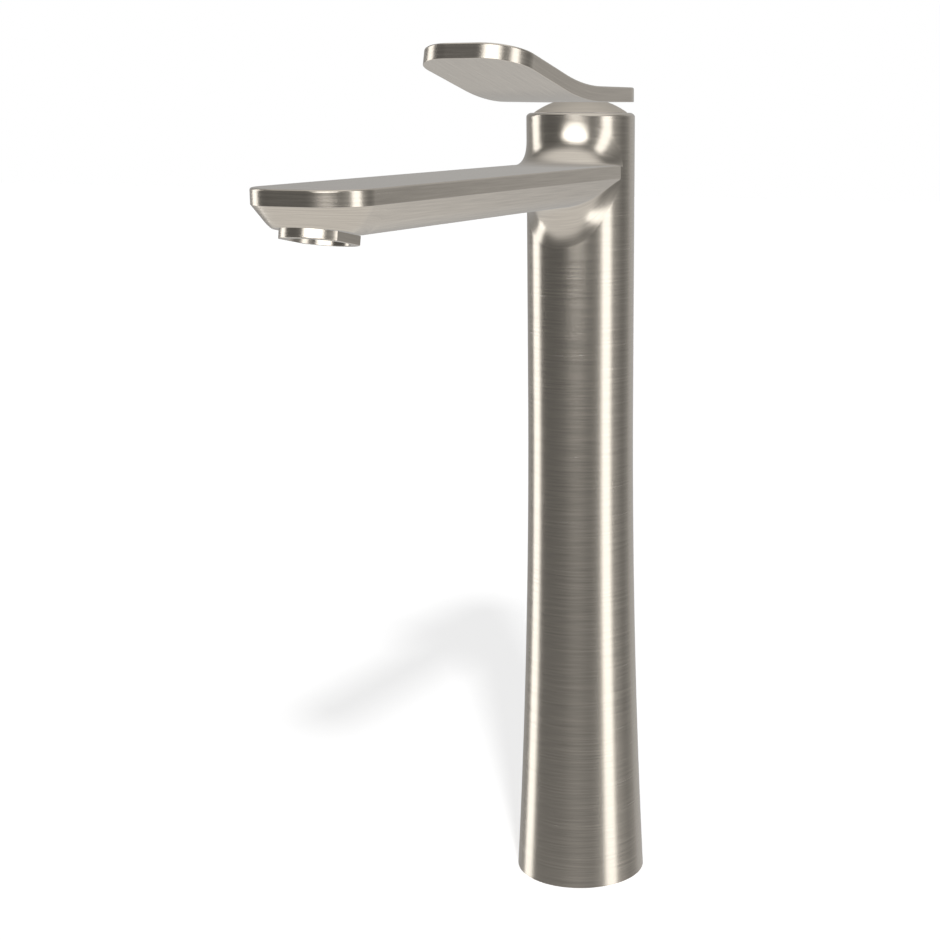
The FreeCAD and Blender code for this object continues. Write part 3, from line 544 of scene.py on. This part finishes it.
# Spout: a flat tongue with a vertical band round it and a belly below, sloping down a little.
spout = {
    "halfWidth": 21.75,
    "reach": 213.5,
    "corner": 15.5,
    "drop": 20.8,
    "slope": 0.675,
    "band": 5.3,
    "edgeRound": 0.8,
    "bellySide": (4.0, 5.3),  # how far in and how far down its straight side goes
    "bellyRound": 13.3,
    "bellyLean": 37.0,
    "start": 8.0,
    "acrossSteps": 14,
}
# Outlet: the tilted place of the aerator under the tip.
outlet = {"reach": 197.0, "height": 291.48, "tilt": 10.1, "collar": 3.1, "bore": 8.0, "boreDepth": 9.0}
# Blends at the root: how far each rises on the column and runs out along the spout, how fast the rise
# and the run fade towards the spout's sides, and how square the curve is.
upperBlend = {"rise": 20.4, "run": 20.0, "fading": 4.5, "runFading": 1.0, "squareness": 3.0}
lowerBlend = {"rise": 18.6, "run": 15.0, "fading": 1.7, "runFading": 2.2, "squareness": 2.0}
blendSink = 0.02
blendSteps = {"across": 120, "along": 36}
lean = math.radians(spout["slope"])
tilt = math.radians(outlet["tilt"])
spoutTop = column["top"] - spout["drop"]


def fromSpout(x, s, z):
    # a point of the spout's own frame, s outwards along it and z up from its top face
    return stacked(x, -s * np.cos(lean) - z * np.sin(lean), spoutTop - s * np.sin(lean) + z * np.cos(lean))


def fromOutlet(x, y, z):
    # a point of the aerator's frame, z up along its tilted axis
    return stacked(x, y * np.cos(tilt) + z * np.sin(tilt) - outlet["reach"],
                   z * np.cos(tilt) - y * np.sin(tilt) + outlet["height"])


def aboveLand(points):
    # height above the plane that the aerator's collar sits against
    lift = points - fromOutlet(0, 0, outlet["collar"])
    return lift[..., 1] * math.sin(tilt) + lift[..., 2] * math.cos(tilt)


def spoutOutline(t, inset):
    # t runs 0-1 along the near side, 1-2 round its corner, 2-3 across the tip and back in the same way
    half, reach, corner = spout["halfWidth"], spout["reach"], spout["corner"]
    mirror = np.where(t > 2.5, -1.0, 1.0)
    t = np.where(t > 2.5, 5 - t, t)
    angle = np.radians(90) * np.clip(t - 1, 0, 1)
    bend = corner - inset
    x = half - corner + bend * np.cos(angle)
    s = reach - corner + bend * np.sin(angle)
    s = np.where(t < 1, spout["start"] + (reach - corner - spout["start"]) * t, s)
    x = np.where(t > 2, (half - corner) * (1 - 2 * (t - 2)), x)
    return x * mirror, s


def bellyAt(w):
    # inset and depth below the band: 0-1 down the straight side, 1-2 round to the flat underside
    side, bend, start = spout["bellySide"], spout["bellyRound"], math.radians(spout["bellyLean"])
    angle = start + (math.pi / 2 - start) * np.clip(w - 1, 0, 1)
    inset = side[0] * np.clip(w, 0, 1) + bend * (math.cos(start) - np.cos(angle))
    depth = side[1] * np.clip(w, 0, 1) + bend * (np.sin(angle) - math.sin(start))
    return inset, depth + spout["band"]


def onBelly(t, w):
    inset, depth = bellyAt(w)
    x, s = spoutOutline(t, inset)
    return fromSpout(x, s, -depth)


def solved(height, low, high, halvings=40):
    # where a height that falls through zero between low and high does so
    for _ in range(halvings):
        middle = (low + high) / 2
        above = height(middle) > 0
        low, high = np.where(above, middle, low), np.where(above, high, middle)
    return (low + high) / 2


def bellyEnd(t):
    last = np.full(np.shape(t), 2.0)
    cut = solved(lambda w: aboveLand(onBelly(t, w)), np.zeros(np.shape(t)), last)
    return np.where(aboveLand(onBelly(t, last)) < 0, cut, last)


def spoutPatches():
    edgeRound, band, steps = spout["edgeRound"], spout["band"], spout["acrossSteps"]
    overLand = lambda t: aboveLand(onBelly(t, np.full(np.shape(t), 2.0)))
    landStart = float(solved(overLand, np.array(0.5), np.array(1.0)))
    side = np.r_[np.linspace(0, landStart, 60), np.linspace(landStart, 1, 9)[1:]]
    near = np.r_[side, np.linspace(1, 2, 33)[1:]]
    half = np.r_[near, np.linspace(2, 3, steps + 1)[1:-1]]
    whole = np.r_[half, 5 - near[::-1]]
    across = np.linspace(1, -1, steps + 1)
    flatMap = lambda points: (-points[..., 1], points[..., 0])

    def bandPlace(t, v):
        # v runs 0-1 round the upper edge and 1-2 down the band
        angle = np.radians(90) * np.clip(v, 0, 1)
        x, s = spoutOutline(t, edgeRound * (1 - np.sin(angle)))
        return fromSpout(x, s, -edgeRound * (1 - np.cos(angle)) - (band - edgeRound) * np.clip(v - 1, 0, 1))

    def topPlace(t, v):
        x, s = spoutOutline(t, edgeRound)
        return fromSpout(x * v, s, 0)

    def bellyPlace(t, v):
        return onBelly(t, v * bellyEnd(t))

    def underPlace(t, v):
        inset, depth = bellyAt(2.0)
        x, s = spoutOutline(t, inset)
        return fromSpout(x * v, s, -depth)

    def endPlace(w, v):
        # the section inside the column, w 0-2 over the band and 2-4 over the belly
        upper = bandPlace(np.zeros(np.shape(w)), np.clip(w, 0, 2))
        lower = onBelly(np.zeros(np.shape(w)), np.clip(w - 2, 0, 2))
        point = np.where(np.asarray(w)[..., None] < 2, upper, lower)
        return point * stacked(v, np.ones(np.shape(v)), np.ones(np.shape(v)))

    loop = np.r_[whole[(whole >= landStart - 1e-9) & (whole <= 5 - landStart + 1e-9)]]
    rim = onBelly(loop, bellyEnd(loop))
    closing = underPlace(np.full(steps + 1, landStart), -across)
    rim = np.concatenate([rim, closing[1:]])
    count = len(rim) - 1

    def rimAt(u):
        low = np.clip(np.floor(u).astype(int), 0, count - 1)
        share = (u - low)[..., None]
        return rim[low] * (1 - share) + rim[low + 1] * share

    centre = fromOutlet(0, 0, outlet["collar"])

    def landPlace(u, v):
        outer = rimAt(u)
        away = outer - centre
        inner = centre + away * outlet["bore"] / np.linalg.norm(away, axis=-1, keepdims=True)
        return inner + (outer - inner) * v[..., None]

    def borePlace(u, v):
        inner = landPlace(u, np.zeros(np.shape(u)))
        return inner + (fromOutlet(0, 0, outlet["boreDepth"]) - fromOutlet(0, 0, 0)) * v[..., None]

    def roofPlace(u, v):
        middle = fromOutlet(0, 0, outlet["collar"] + outlet["boreDepth"])
        return middle + (borePlace(u, np.ones(np.shape(u))) - middle) * v[..., None]

    levels = np.r_[np.linspace(0, 1, 9), np.linspace(1, 2, 5)[1:]]
    bellyRows = np.r_[np.linspace(0, 0.5, 7), np.linspace(0.5, 1, 29)[1:]]
    under = side[side <= landStart + 1e-9]
    return [
        patch(bandPlace, whole, levels),
        patch(topPlace, near, across, flip=True, grain=flatMap),
        patch(bellyPlace, whole, bellyRows),
        patch(underPlace, under, across, grain=flatMap),
        patch(landPlace, np.arange(count + 1), [0, 1], flip=True, grain=flatMap),
        patch(borePlace, np.arange(count + 1), [0, 1]),
        patch(roofPlace, np.arange(count + 1), [0, 1], flip=True, grain=flatMap),
        patch(endPlace, np.r_[levels, 2 + np.linspace(0, 2, 36)[1:]], across, grain=flatMap),
    ]


def blendPatches():
    # curves between the spout's faces and the column, side by side across the spout
    half = spout["halfWidth"]
    insets, depths = bellyAt(np.linspace(0, 2, 400))

    def undersideDepth(x):
        return np.interp(half - np.abs(x), insets, depths)

    def upperDepth(x):
        beyond = np.clip(np.abs(x) - (half - spout["edgeRound"]), 0, spout["edgeRound"])
        return spout["edgeRound"] - np.sqrt(spout["edgeRound"] ** 2 - beyond ** 2)

    def blendPlace(blend, depthAt, side):
        # leaves the spout's face along its slope, ends upright on the column, runs out at the spout's sides
        power = 2 / blend["squareness"]

        def place(u, v):
            x = half * np.sin(np.radians(u))
            fade = np.sqrt(np.clip(1 - np.abs(x / half) ** blend["fading"], 0, 1)) + 1e-6
            rise, run = blend["rise"] * fade, blend["run"] * fade ** blend["runFading"]
            wall = -np.sqrt(column["radius"] ** 2 - x ** 2) + blendSink
            angle = math.pi / 2 * (1 - v)
            y = wall - run + run * np.clip(np.cos(angle), 0, 1) ** power
            face = spoutTop + y * math.tan(lean) - depthAt(x) / math.cos(lean)
            return stacked(x, y, face + side * rise * (1 - np.clip(np.sin(angle), 0, 1) ** power))
        return place

    across = np.linspace(-90, 90, blendSteps["across"] + 1)
    along = np.linspace(0, 1, blendSteps["along"] + 1)
    upper = blendPlace(upperBlend, upperDepth, 1)
    lower = blendPlace(lowerBlend, undersideDepth, -1)
    return [patch(upper, across, along), patch(lower, across, along, flip=True)]


casting = joined("faucetBody", columnPatches() + spoutPatches() + blendPatches(), brushedNickel)
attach(casting, "body")
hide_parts("body_casting")
casting.visible_glossy = False
print("body shaped")


# Lever: a plate of one thickness that bends up towards its tip, with a dome below it that turns in the
# column's rim.
leverLow, leverHigh = [corner * 1000 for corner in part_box("lever_handle")]
lever = {
    "halfWidth": leverHigh.x,
    "reach": 103.0,
    "rear": 17.5,
    "corner": 15.5,
    "thickness": 5.9,
    "flatEnd": 26.0,
    "bend": 144.0,
    "slope": 13.87,
    "edgeRound": 0.8,
    "lowRound": 0.2,
    "bevelStart": 9.8,
    "bevelAngle": 20.0,
    "acrossSteps": 14,
}
dome = {
    "bend": 33.5,
    "edge": 19.2,
    "top": 11.2,
    "skirt": 1.5,
    "hollow": 15.8,
    "wall": 2.2,
    "screwHole": 2.03,
    "screwDrop": 2.0,
    "screwFace": 10.0,
    "holeLap": 1.0,  # how far the hole's wall runs past the screw's face
    "panel": 5.0,
    "boss": 6.5,
    "bossDrop": 3.1,
    "bossTop": 0.2,
    "around": 180,
}
domeRise = math.sqrt(dome["bend"] ** 2 - dome["edge"] ** 2)
domeTopRise = math.sqrt(dome["bend"] ** 2 - dome["top"] ** 2)
domeCentre = leverLow.z + dome["skirt"] - domeRise
leverUnderside = domeCentre + domeTopRise
leverSlope = math.radians(lever["slope"])
leverEnd = lever["flatEnd"] + lever["bend"] * leverSlope + (
    lever["reach"] - lever["flatEnd"] - lever["bend"] * math.sin(leverSlope)) / math.cos(leverSlope)


def onLever(x, run, height):
    # run is measured along the bent underside from the column's axis, height square to it
    past = run - lever["flatEnd"]
    angle = np.clip(past / lever["bend"], 0, leverSlope)
    beyond = np.maximum(past - lever["bend"] * leverSlope, 0)
    s = np.minimum(run, lever["flatEnd"]) + lever["bend"] * np.sin(angle) + beyond * math.cos(leverSlope)
    z = leverUnderside + lever["bend"] * (1 - np.cos(angle)) + beyond * math.sin(leverSlope)
    return stacked(x, -(s - height * np.sin(angle)), z + height * np.cos(angle))


def leverOutline(h, inset):
    # h runs 0-1 along the rear, 1-2 round a corner, 2-3 along the near side, 3-4 round, 4-5 to mid tip
    mirror = np.where(h > 5, -1.0, 1.0)
    h = np.where(h > 5, 10 - h, h)
    flat, bend = lever["halfWidth"] - lever["corner"], lever["corner"] - inset
    rearBend, frontBend = lever["rear"] - lever["corner"], leverEnd - lever["corner"]
    rearAngle = math.pi / 2 * np.clip(h - 1, 0, 1)
    frontAngle = math.pi / 2 * np.clip(h - 3, 0, 1)
    rear = h < 2.5
    x = flat + bend * np.where(rear, np.sin(rearAngle), np.cos(frontAngle))
    x = np.where(h < 1, flat * h, np.where(h > 4, flat * (5 - h), x))
    run = np.where(rear, -rearBend - bend * np.cos(rearAngle), frontBend + bend * np.sin(frontAngle))
    middle = (h > 2) & (h < 3)
    run = np.where(middle, -rearBend + (frontBend + rearBend) * np.clip(h - 2, 0, 1), run)
    return x * mirror, run


def bevelAt(run):
    return np.maximum(-run - lever["bevelStart"], 0) * math.tan(math.radians(lever["bevelAngle"]))


def leverPatches():
    edgeRound, lowRound, thickness = lever["edgeRound"], lever["lowRound"], lever["thickness"]
    rearBend = lever["rear"] - lever["corner"]
    crease = 1 + math.acos((lever["bevelStart"] - rearBend) / (lever["corner"] - lowRound)) / (math.pi / 2)
    half = np.r_[np.linspace(0, 1, 8)[:-1], np.linspace(1, crease, 20)[:-1], np.linspace(crease, 2, 14)[:-1],
                 np.linspace(2, 3, 70)[:-1], np.linspace(3, 4, 33)[:-1], np.linspace(4, 5, 8)]
    whole = np.r_[half, 10 - half[::-1][1:]]
    across = np.linspace(1, -1, lever["acrossSteps"] + 1)
    flatMap = lambda points: (-points[..., 1], points[..., 0])

    def sidePlace(h, v):
        # v runs 0-1 round the upper edge, 1-2 down the side, 2-3 round the lower edge
        upper = math.pi / 2 * np.clip(v, 0, 1)
        lower = math.pi / 2 * np.clip(v - 2, 0, 1)
        inset = edgeRound * (1 - np.sin(upper)) + lowRound * (1 - np.cos(lower))
        x, run = leverOutline(h, inset)
        floor = bevelAt(run)
        height = thickness - edgeRound * (1 - np.cos(upper))
        height = height - (thickness - edgeRound - lowRound - floor) * np.clip(v - 1, 0, 1)
        return onLever(x, run, height - lowRound * np.sin(lower))

    def topPlace(h, v):
        x, run = leverOutline(h, edgeRound)
        return onLever(x * v, run, thickness)

    def underPlace(h, v):
        x, run = leverOutline(h, lowRound)
        return onLever(x * v, run, bevelAt(run))

    rows = half[(half >= 1) & (half <= 4)]
    levels = np.r_[np.linspace(0, 1, 9), np.linspace(1, 2, 5)[1:], np.linspace(2, 3, 4)[1:]]
    return [
        patch(sidePlace, whole, levels),
        patch(topPlace, rows, across, flip=True, grain=flatMap),
        patch(underPlace, rows[rows <= crease + 1e-9], across, grain=flatMap),
        patch(underPlace, rows[rows >= crease - 1e-9], across, grain=flatMap),
    ]


def block(low, high):
    # the six sides of a box
    patches = []
    for axis in range(3):
        for end, corner in ((0, low), (1, high)):
            def place(u, v, axis=axis, corner=corner):
                parts = [u, v]
                parts.insert(axis, np.full(np.shape(u), corner[axis]))
                return stacked(*parts)
            first, second = [other for other in range(3) if other != axis]
            patches.append(patch(place, [low[first], high[first]], [low[second], high[second]],
                                 flip=(end == 0) != (axis == 1)))
    return patches


def domePatches():
    bend, edge, panel, around = dome["bend"], dome["edge"], dome["panel"], dome["around"]
    startRise, endRise = math.asin(domeRise / bend), math.asin(domeTopRise / bend)
    holeHeight = leverUnderside - dome["screwDrop"]
    low, high = domeCentre + domeRise, leverUnderside

    def domePlace(u, v):
        # all of the dome but a panel at the rear, which the screw hole goes through
        radius, height = bend * np.cos(v), domeCentre + bend * np.sin(v)
        aside = np.arcsin(panel / radius)
        angle = math.pi / 2 + aside + u * (2 * math.pi - 2 * aside)
        return stacked(radius * np.cos(angle), radius * np.sin(angle), height)

    def panelPoint(x, z):
        z = np.clip(z, low, high)
        return stacked(x, np.sqrt(bend ** 2 - (z - domeCentre) ** 2 - x ** 2), z)

    def panelPlace(u, v):
        side, rise = np.cos(u), np.sin(u)
        room = np.where(rise > 0, high - holeHeight, holeHeight - low)
        reach = np.minimum(panel / np.maximum(np.abs(side), 1e-9), room / np.maximum(np.abs(rise), 1e-9))
        distance = dome["screwHole"] + (reach - dome["screwHole"]) * v
        return panelPoint(side * distance, holeHeight + rise * distance)

    def holePlace(u, v):
        mouth = panelPlace(u, np.zeros(np.shape(u)))
        mouth[..., 1] += (dome["screwFace"] - dome["holeLap"] - mouth[..., 1]) * v
        return mouth

    upper, lower = high - holeHeight, holeHeight - low
    corners = [math.atan2(rise, side) for rise, side in
               ((upper, panel), (upper, -panel), (-lower, -panel), (-lower, panel))]
    turns = np.unique(np.r_[np.linspace(-math.pi, math.pi, 97), corners])
    hollowBend = bend - dome["wall"]
    hollowStart = math.acos(dome["hollow"] / hollowBend)
    hollowTop = domeCentre + hollowBend * math.sin(hollowStart)
    hollowTurn = math.pi / 2 - hollowStart

    def roof(v):
        angle = hollowStart + hollowTurn * (1 - v)
        return hollowBend * np.cos(angle), domeCentre + hollowBend * np.sin(angle)

    boss, skirtLow = dome["boss"], leverLow.z
    return [
        patch(domePlace, np.linspace(0, 1, around + 1), np.linspace(startRise, endRise, 17)),
        patch(panelPlace, turns, np.linspace(0, 1, 7)),
        patch(holePlace, turns, [0, 1], flip=True),
        lathe(straight((edge, skirtLow), (edge, low)), around)([0, 1]),
        lathe(straight((dome["hollow"], skirtLow), (edge, skirtLow)), around)([0, 1]),
        lathe(straight((dome["hollow"], hollowTop), (dome["hollow"], skirtLow)), around)([0, 1]),
        lathe(roof, around)(np.linspace(0, 1, 9)),
    ] + block((-boss, -boss, leverUnderside - dome["bossDrop"]), (boss, boss, leverUnderside - dome["bossTop"]))


leverParts = [("leverPlate", leverPatches(), brushedNickel), ("leverDome", domePatches(), satinNickel)]
for name, patches, finish in leverParts:
    handle = joined(name, patches, finish)
    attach(handle, "lever")
    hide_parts("lever_handle")
    handle.visible_glossy = False
print("lever shaped")


# Aerator ring: a collar with two flats for a key, a recess with teeth round it, and the shank above.
ring = {
    "radius": 12.93,
    "flat": 11.0,
    "collar": outlet["collar"],
    "lip": 2.9,
    "edge": 0.25,
    "recess": 1.8,
    "toothDepth": 1.2,
    "bore": 9.4,
    "shank": 11.0,
    "shankTop": 11.0,
    "teeth": 18,
    "notch": 1.6,
}


def ringPatches():
    radius, flat, collar, edge = ring["radius"], ring["flat"], ring["collar"], ring["edge"]
    lip, toothLevel = radius - ring["lip"], ring["recess"] + ring["toothDepth"]

    def ringOutline(t, inset):
        # t runs 0-1 along a flat, 1-2 round an arc, and so on
        cut = np.arccos((flat - inset) / (radius - inset))
        part = np.clip(np.floor(t), 0, 3)
        share = t - part
        angle = np.where(part % 2 == 0, -cut + 2 * cut * share, cut + (math.pi - 2 * cut) * share)
        angle = angle + np.where(part >= 2, math.pi, 0)
        toFlat = (flat - inset) / np.maximum(np.abs(np.cos(angle)), 1e-9)
        return np.where(part % 2 == 0, toFlat, radius - inset), angle

    def ruled(outer, inner):
        def place(t, v):
            (farRadius, angle), farHeight = ringOutline(t, outer[0]), outer[1]
            distance = farRadius + (inner[0] - farRadius) * v
            height = farHeight + (inner[1] - farHeight) * v
            return fromOutlet(distance * np.cos(angle), distance * np.sin(angle), height)
        return place

    def sidePlace(t, v):
        curve = math.pi / 2 * np.clip(v, 0, 1)
        distance, angle = ringOutline(t, edge * (1 - np.sin(curve)))
        height = edge * (1 - np.cos(curve)) + (collar - edge) * np.clip(v - 1, 0, 1)
        return fromOutlet(distance * np.cos(angle), distance * np.sin(angle), height)

    def turned(start, end):
        def place(u, v):
            distance, height = straight(start, end)(v)
            return fromOutlet(distance * np.cos(u), distance * np.sin(u), height)
        return patch(place, np.linspace(0, 2 * math.pi, 145), [0, 1])

    patches = []
    for part in range(4):
        rows = np.linspace(part, part + 1 - 1e-9, 9 if part % 2 == 0 else 49)
        patches.append(patch(sidePlace, rows, np.r_[np.linspace(0, 1, 5), 2]))
        patches.append(patch(ruled((edge, 0), (lip, 0)), rows, [0, 1], flip=True))
        patches.append(patch(ruled((0, collar), (ring["shank"] - 1e-3, collar)), rows, [0, 1]))
    line = [(ring["shank"], collar), (ring["shank"], ring["shankTop"]), (ring["bore"], ring["shankTop"]),
            (ring["bore"], toothLevel), (lip, toothLevel), (lip, 0)]
    return patches + [turned(start, end) for start, end in zip(line, line[1:])]


collarRing = joined("aeratorRing", ringPatches(), brushedNickel)
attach(collarRing, "body")
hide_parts("aerator_housing")
collarRing.visible_glossy = False
print("aerator ring shaped")


# Teeth between the notches in the ring's recess, set out round a circle.
def socket(tree, name, kind, value):
    item = tree.interface.new_socket(name=name, in_out="INPUT", socket_type=kind)
    item.default_value = value
    return item.identifier


def buildTeeth():
    lip = (ring["radius"] - ring["lip"]) / 1000
    depth = ring["toothDepth"] / 1000
    middle = lip - depth / 2
    width = 2 * math.pi * middle / ring["teeth"] - ring["notch"] / 1000
    middlePlace = fromOutlet(0, 0, ring["recess"] + ring["toothDepth"] / 2)
    tree = bpy.data.node_groups.new("ringTeeth", "GeometryNodeTree")
    values = {
        "Count": ("NodeSocketInt", ring["teeth"]),
        "Ring Radius": ("NodeSocketFloat", middle),
        "Tooth Size": ("NodeSocketVector", (depth + 2e-5, width, depth)),
        "Tilt": ("NodeSocketVector", (-tilt, 0, 0)),
        "Place": ("NodeSocketVector", tuple(middlePlace / 1000)),
    }
    identifiers = {name: socket(tree, name, kind, value) for name, (kind, value) in values.items()}
    tree.interface.new_socket(name="Geometry", in_out="OUTPUT", socket_type="NodeSocketGeometry")
    nodes, links = tree.nodes, tree.links
    inputs = nodes.new("NodeGroupInput")
    outputs = nodes.new("NodeGroupOutput")
    circle = nodes.new("GeometryNodeMeshCircle")
    cube = nodes.new("GeometryNodeMeshCube")
    store = nodes.new("GeometryNodeStoreNamedAttribute")
    store.data_type, store.domain = "FLOAT2", "CORNER"
    store.inputs["Name"].default_value = "grain"
    index = nodes.new("GeometryNodeInputIndex")
    share = nodes.new("ShaderNodeMath")
    share.operation = "DIVIDE"
    turn = nodes.new("ShaderNodeMath")
    turn.operation = "MULTIPLY_ADD"
    turn.inputs[1].default_value = 2 * math.pi
    turn.inputs[2].default_value = math.pi / ring["teeth"]
    rotation = nodes.new("ShaderNodeCombineXYZ")
    instances = nodes.new("GeometryNodeInstanceOnPoints")
    offset = nodes.new("GeometryNodeTransform")
    offset.inputs["Rotation"].default_value = (0, 0, math.pi / ring["teeth"])
    tilted = nodes.new("GeometryNodeTransform")
    real = nodes.new("GeometryNodeRealizeInstances")
    paint = nodes.new("GeometryNodeSetMaterial")
    paint.inputs["Material"].default_value = brushedNickel
    links.new(inputs.outputs["Count"], circle.inputs["Vertices"])
    links.new(inputs.outputs["Ring Radius"], circle.inputs["Radius"])
    links.new(inputs.outputs["Tooth Size"], cube.inputs["Size"])
    links.new(cube.outputs["Mesh"], store.inputs["Geometry"])
    links.new(cube.outputs["UV Map"], store.inputs["Value"])
    links.new(circle.outputs["Mesh"], offset.inputs["Geometry"])
    links.new(offset.outputs["Geometry"], instances.inputs["Points"])
    links.new(store.outputs["Geometry"], instances.inputs["Instance"])
    links.new(index.outputs["Index"], share.inputs[0])
    links.new(inputs.outputs["Count"], share.inputs[1])
    links.new(share.outputs["Value"], turn.inputs[0])
    links.new(turn.outputs["Value"], rotation.inputs["Z"])
    links.new(rotation.outputs["Vector"], instances.inputs["Rotation"])
    links.new(instances.outputs["Instances"], tilted.inputs["Geometry"])
    links.new(inputs.outputs["Tilt"], tilted.inputs["Rotation"])
    links.new(inputs.outputs["Place"], tilted.inputs["Translation"])
    links.new(tilted.outputs["Geometry"], real.inputs["Geometry"])
    links.new(real.outputs["Geometry"], paint.inputs["Geometry"])
    links.new(paint.outputs["Geometry"], outputs.inputs["Geometry"])
    item = bpy.data.objects.new("aeratorTeeth", bpy.data.meshes.new("aeratorTeeth"))
    bpy.context.scene.collection.objects.link(item)
    modifier = item.modifiers.new("teeth", "NODES")
    modifier.node_group = tree
    for name, (kind, value) in values.items():
        modifier[identifiers[name]] = value
    bpy.context.view_layer.update()
    shaped = bpy.data.meshes.new_from_object(item.evaluated_get(bpy.context.evaluated_depsgraph_get()))
    item.modifiers.remove(modifier)
    item.data = shaped
    return item


teeth = buildTeeth()
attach(teeth, "body")
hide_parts("aerator_housing")
teeth.visible_glossy = False
print("aerator teeth set out")
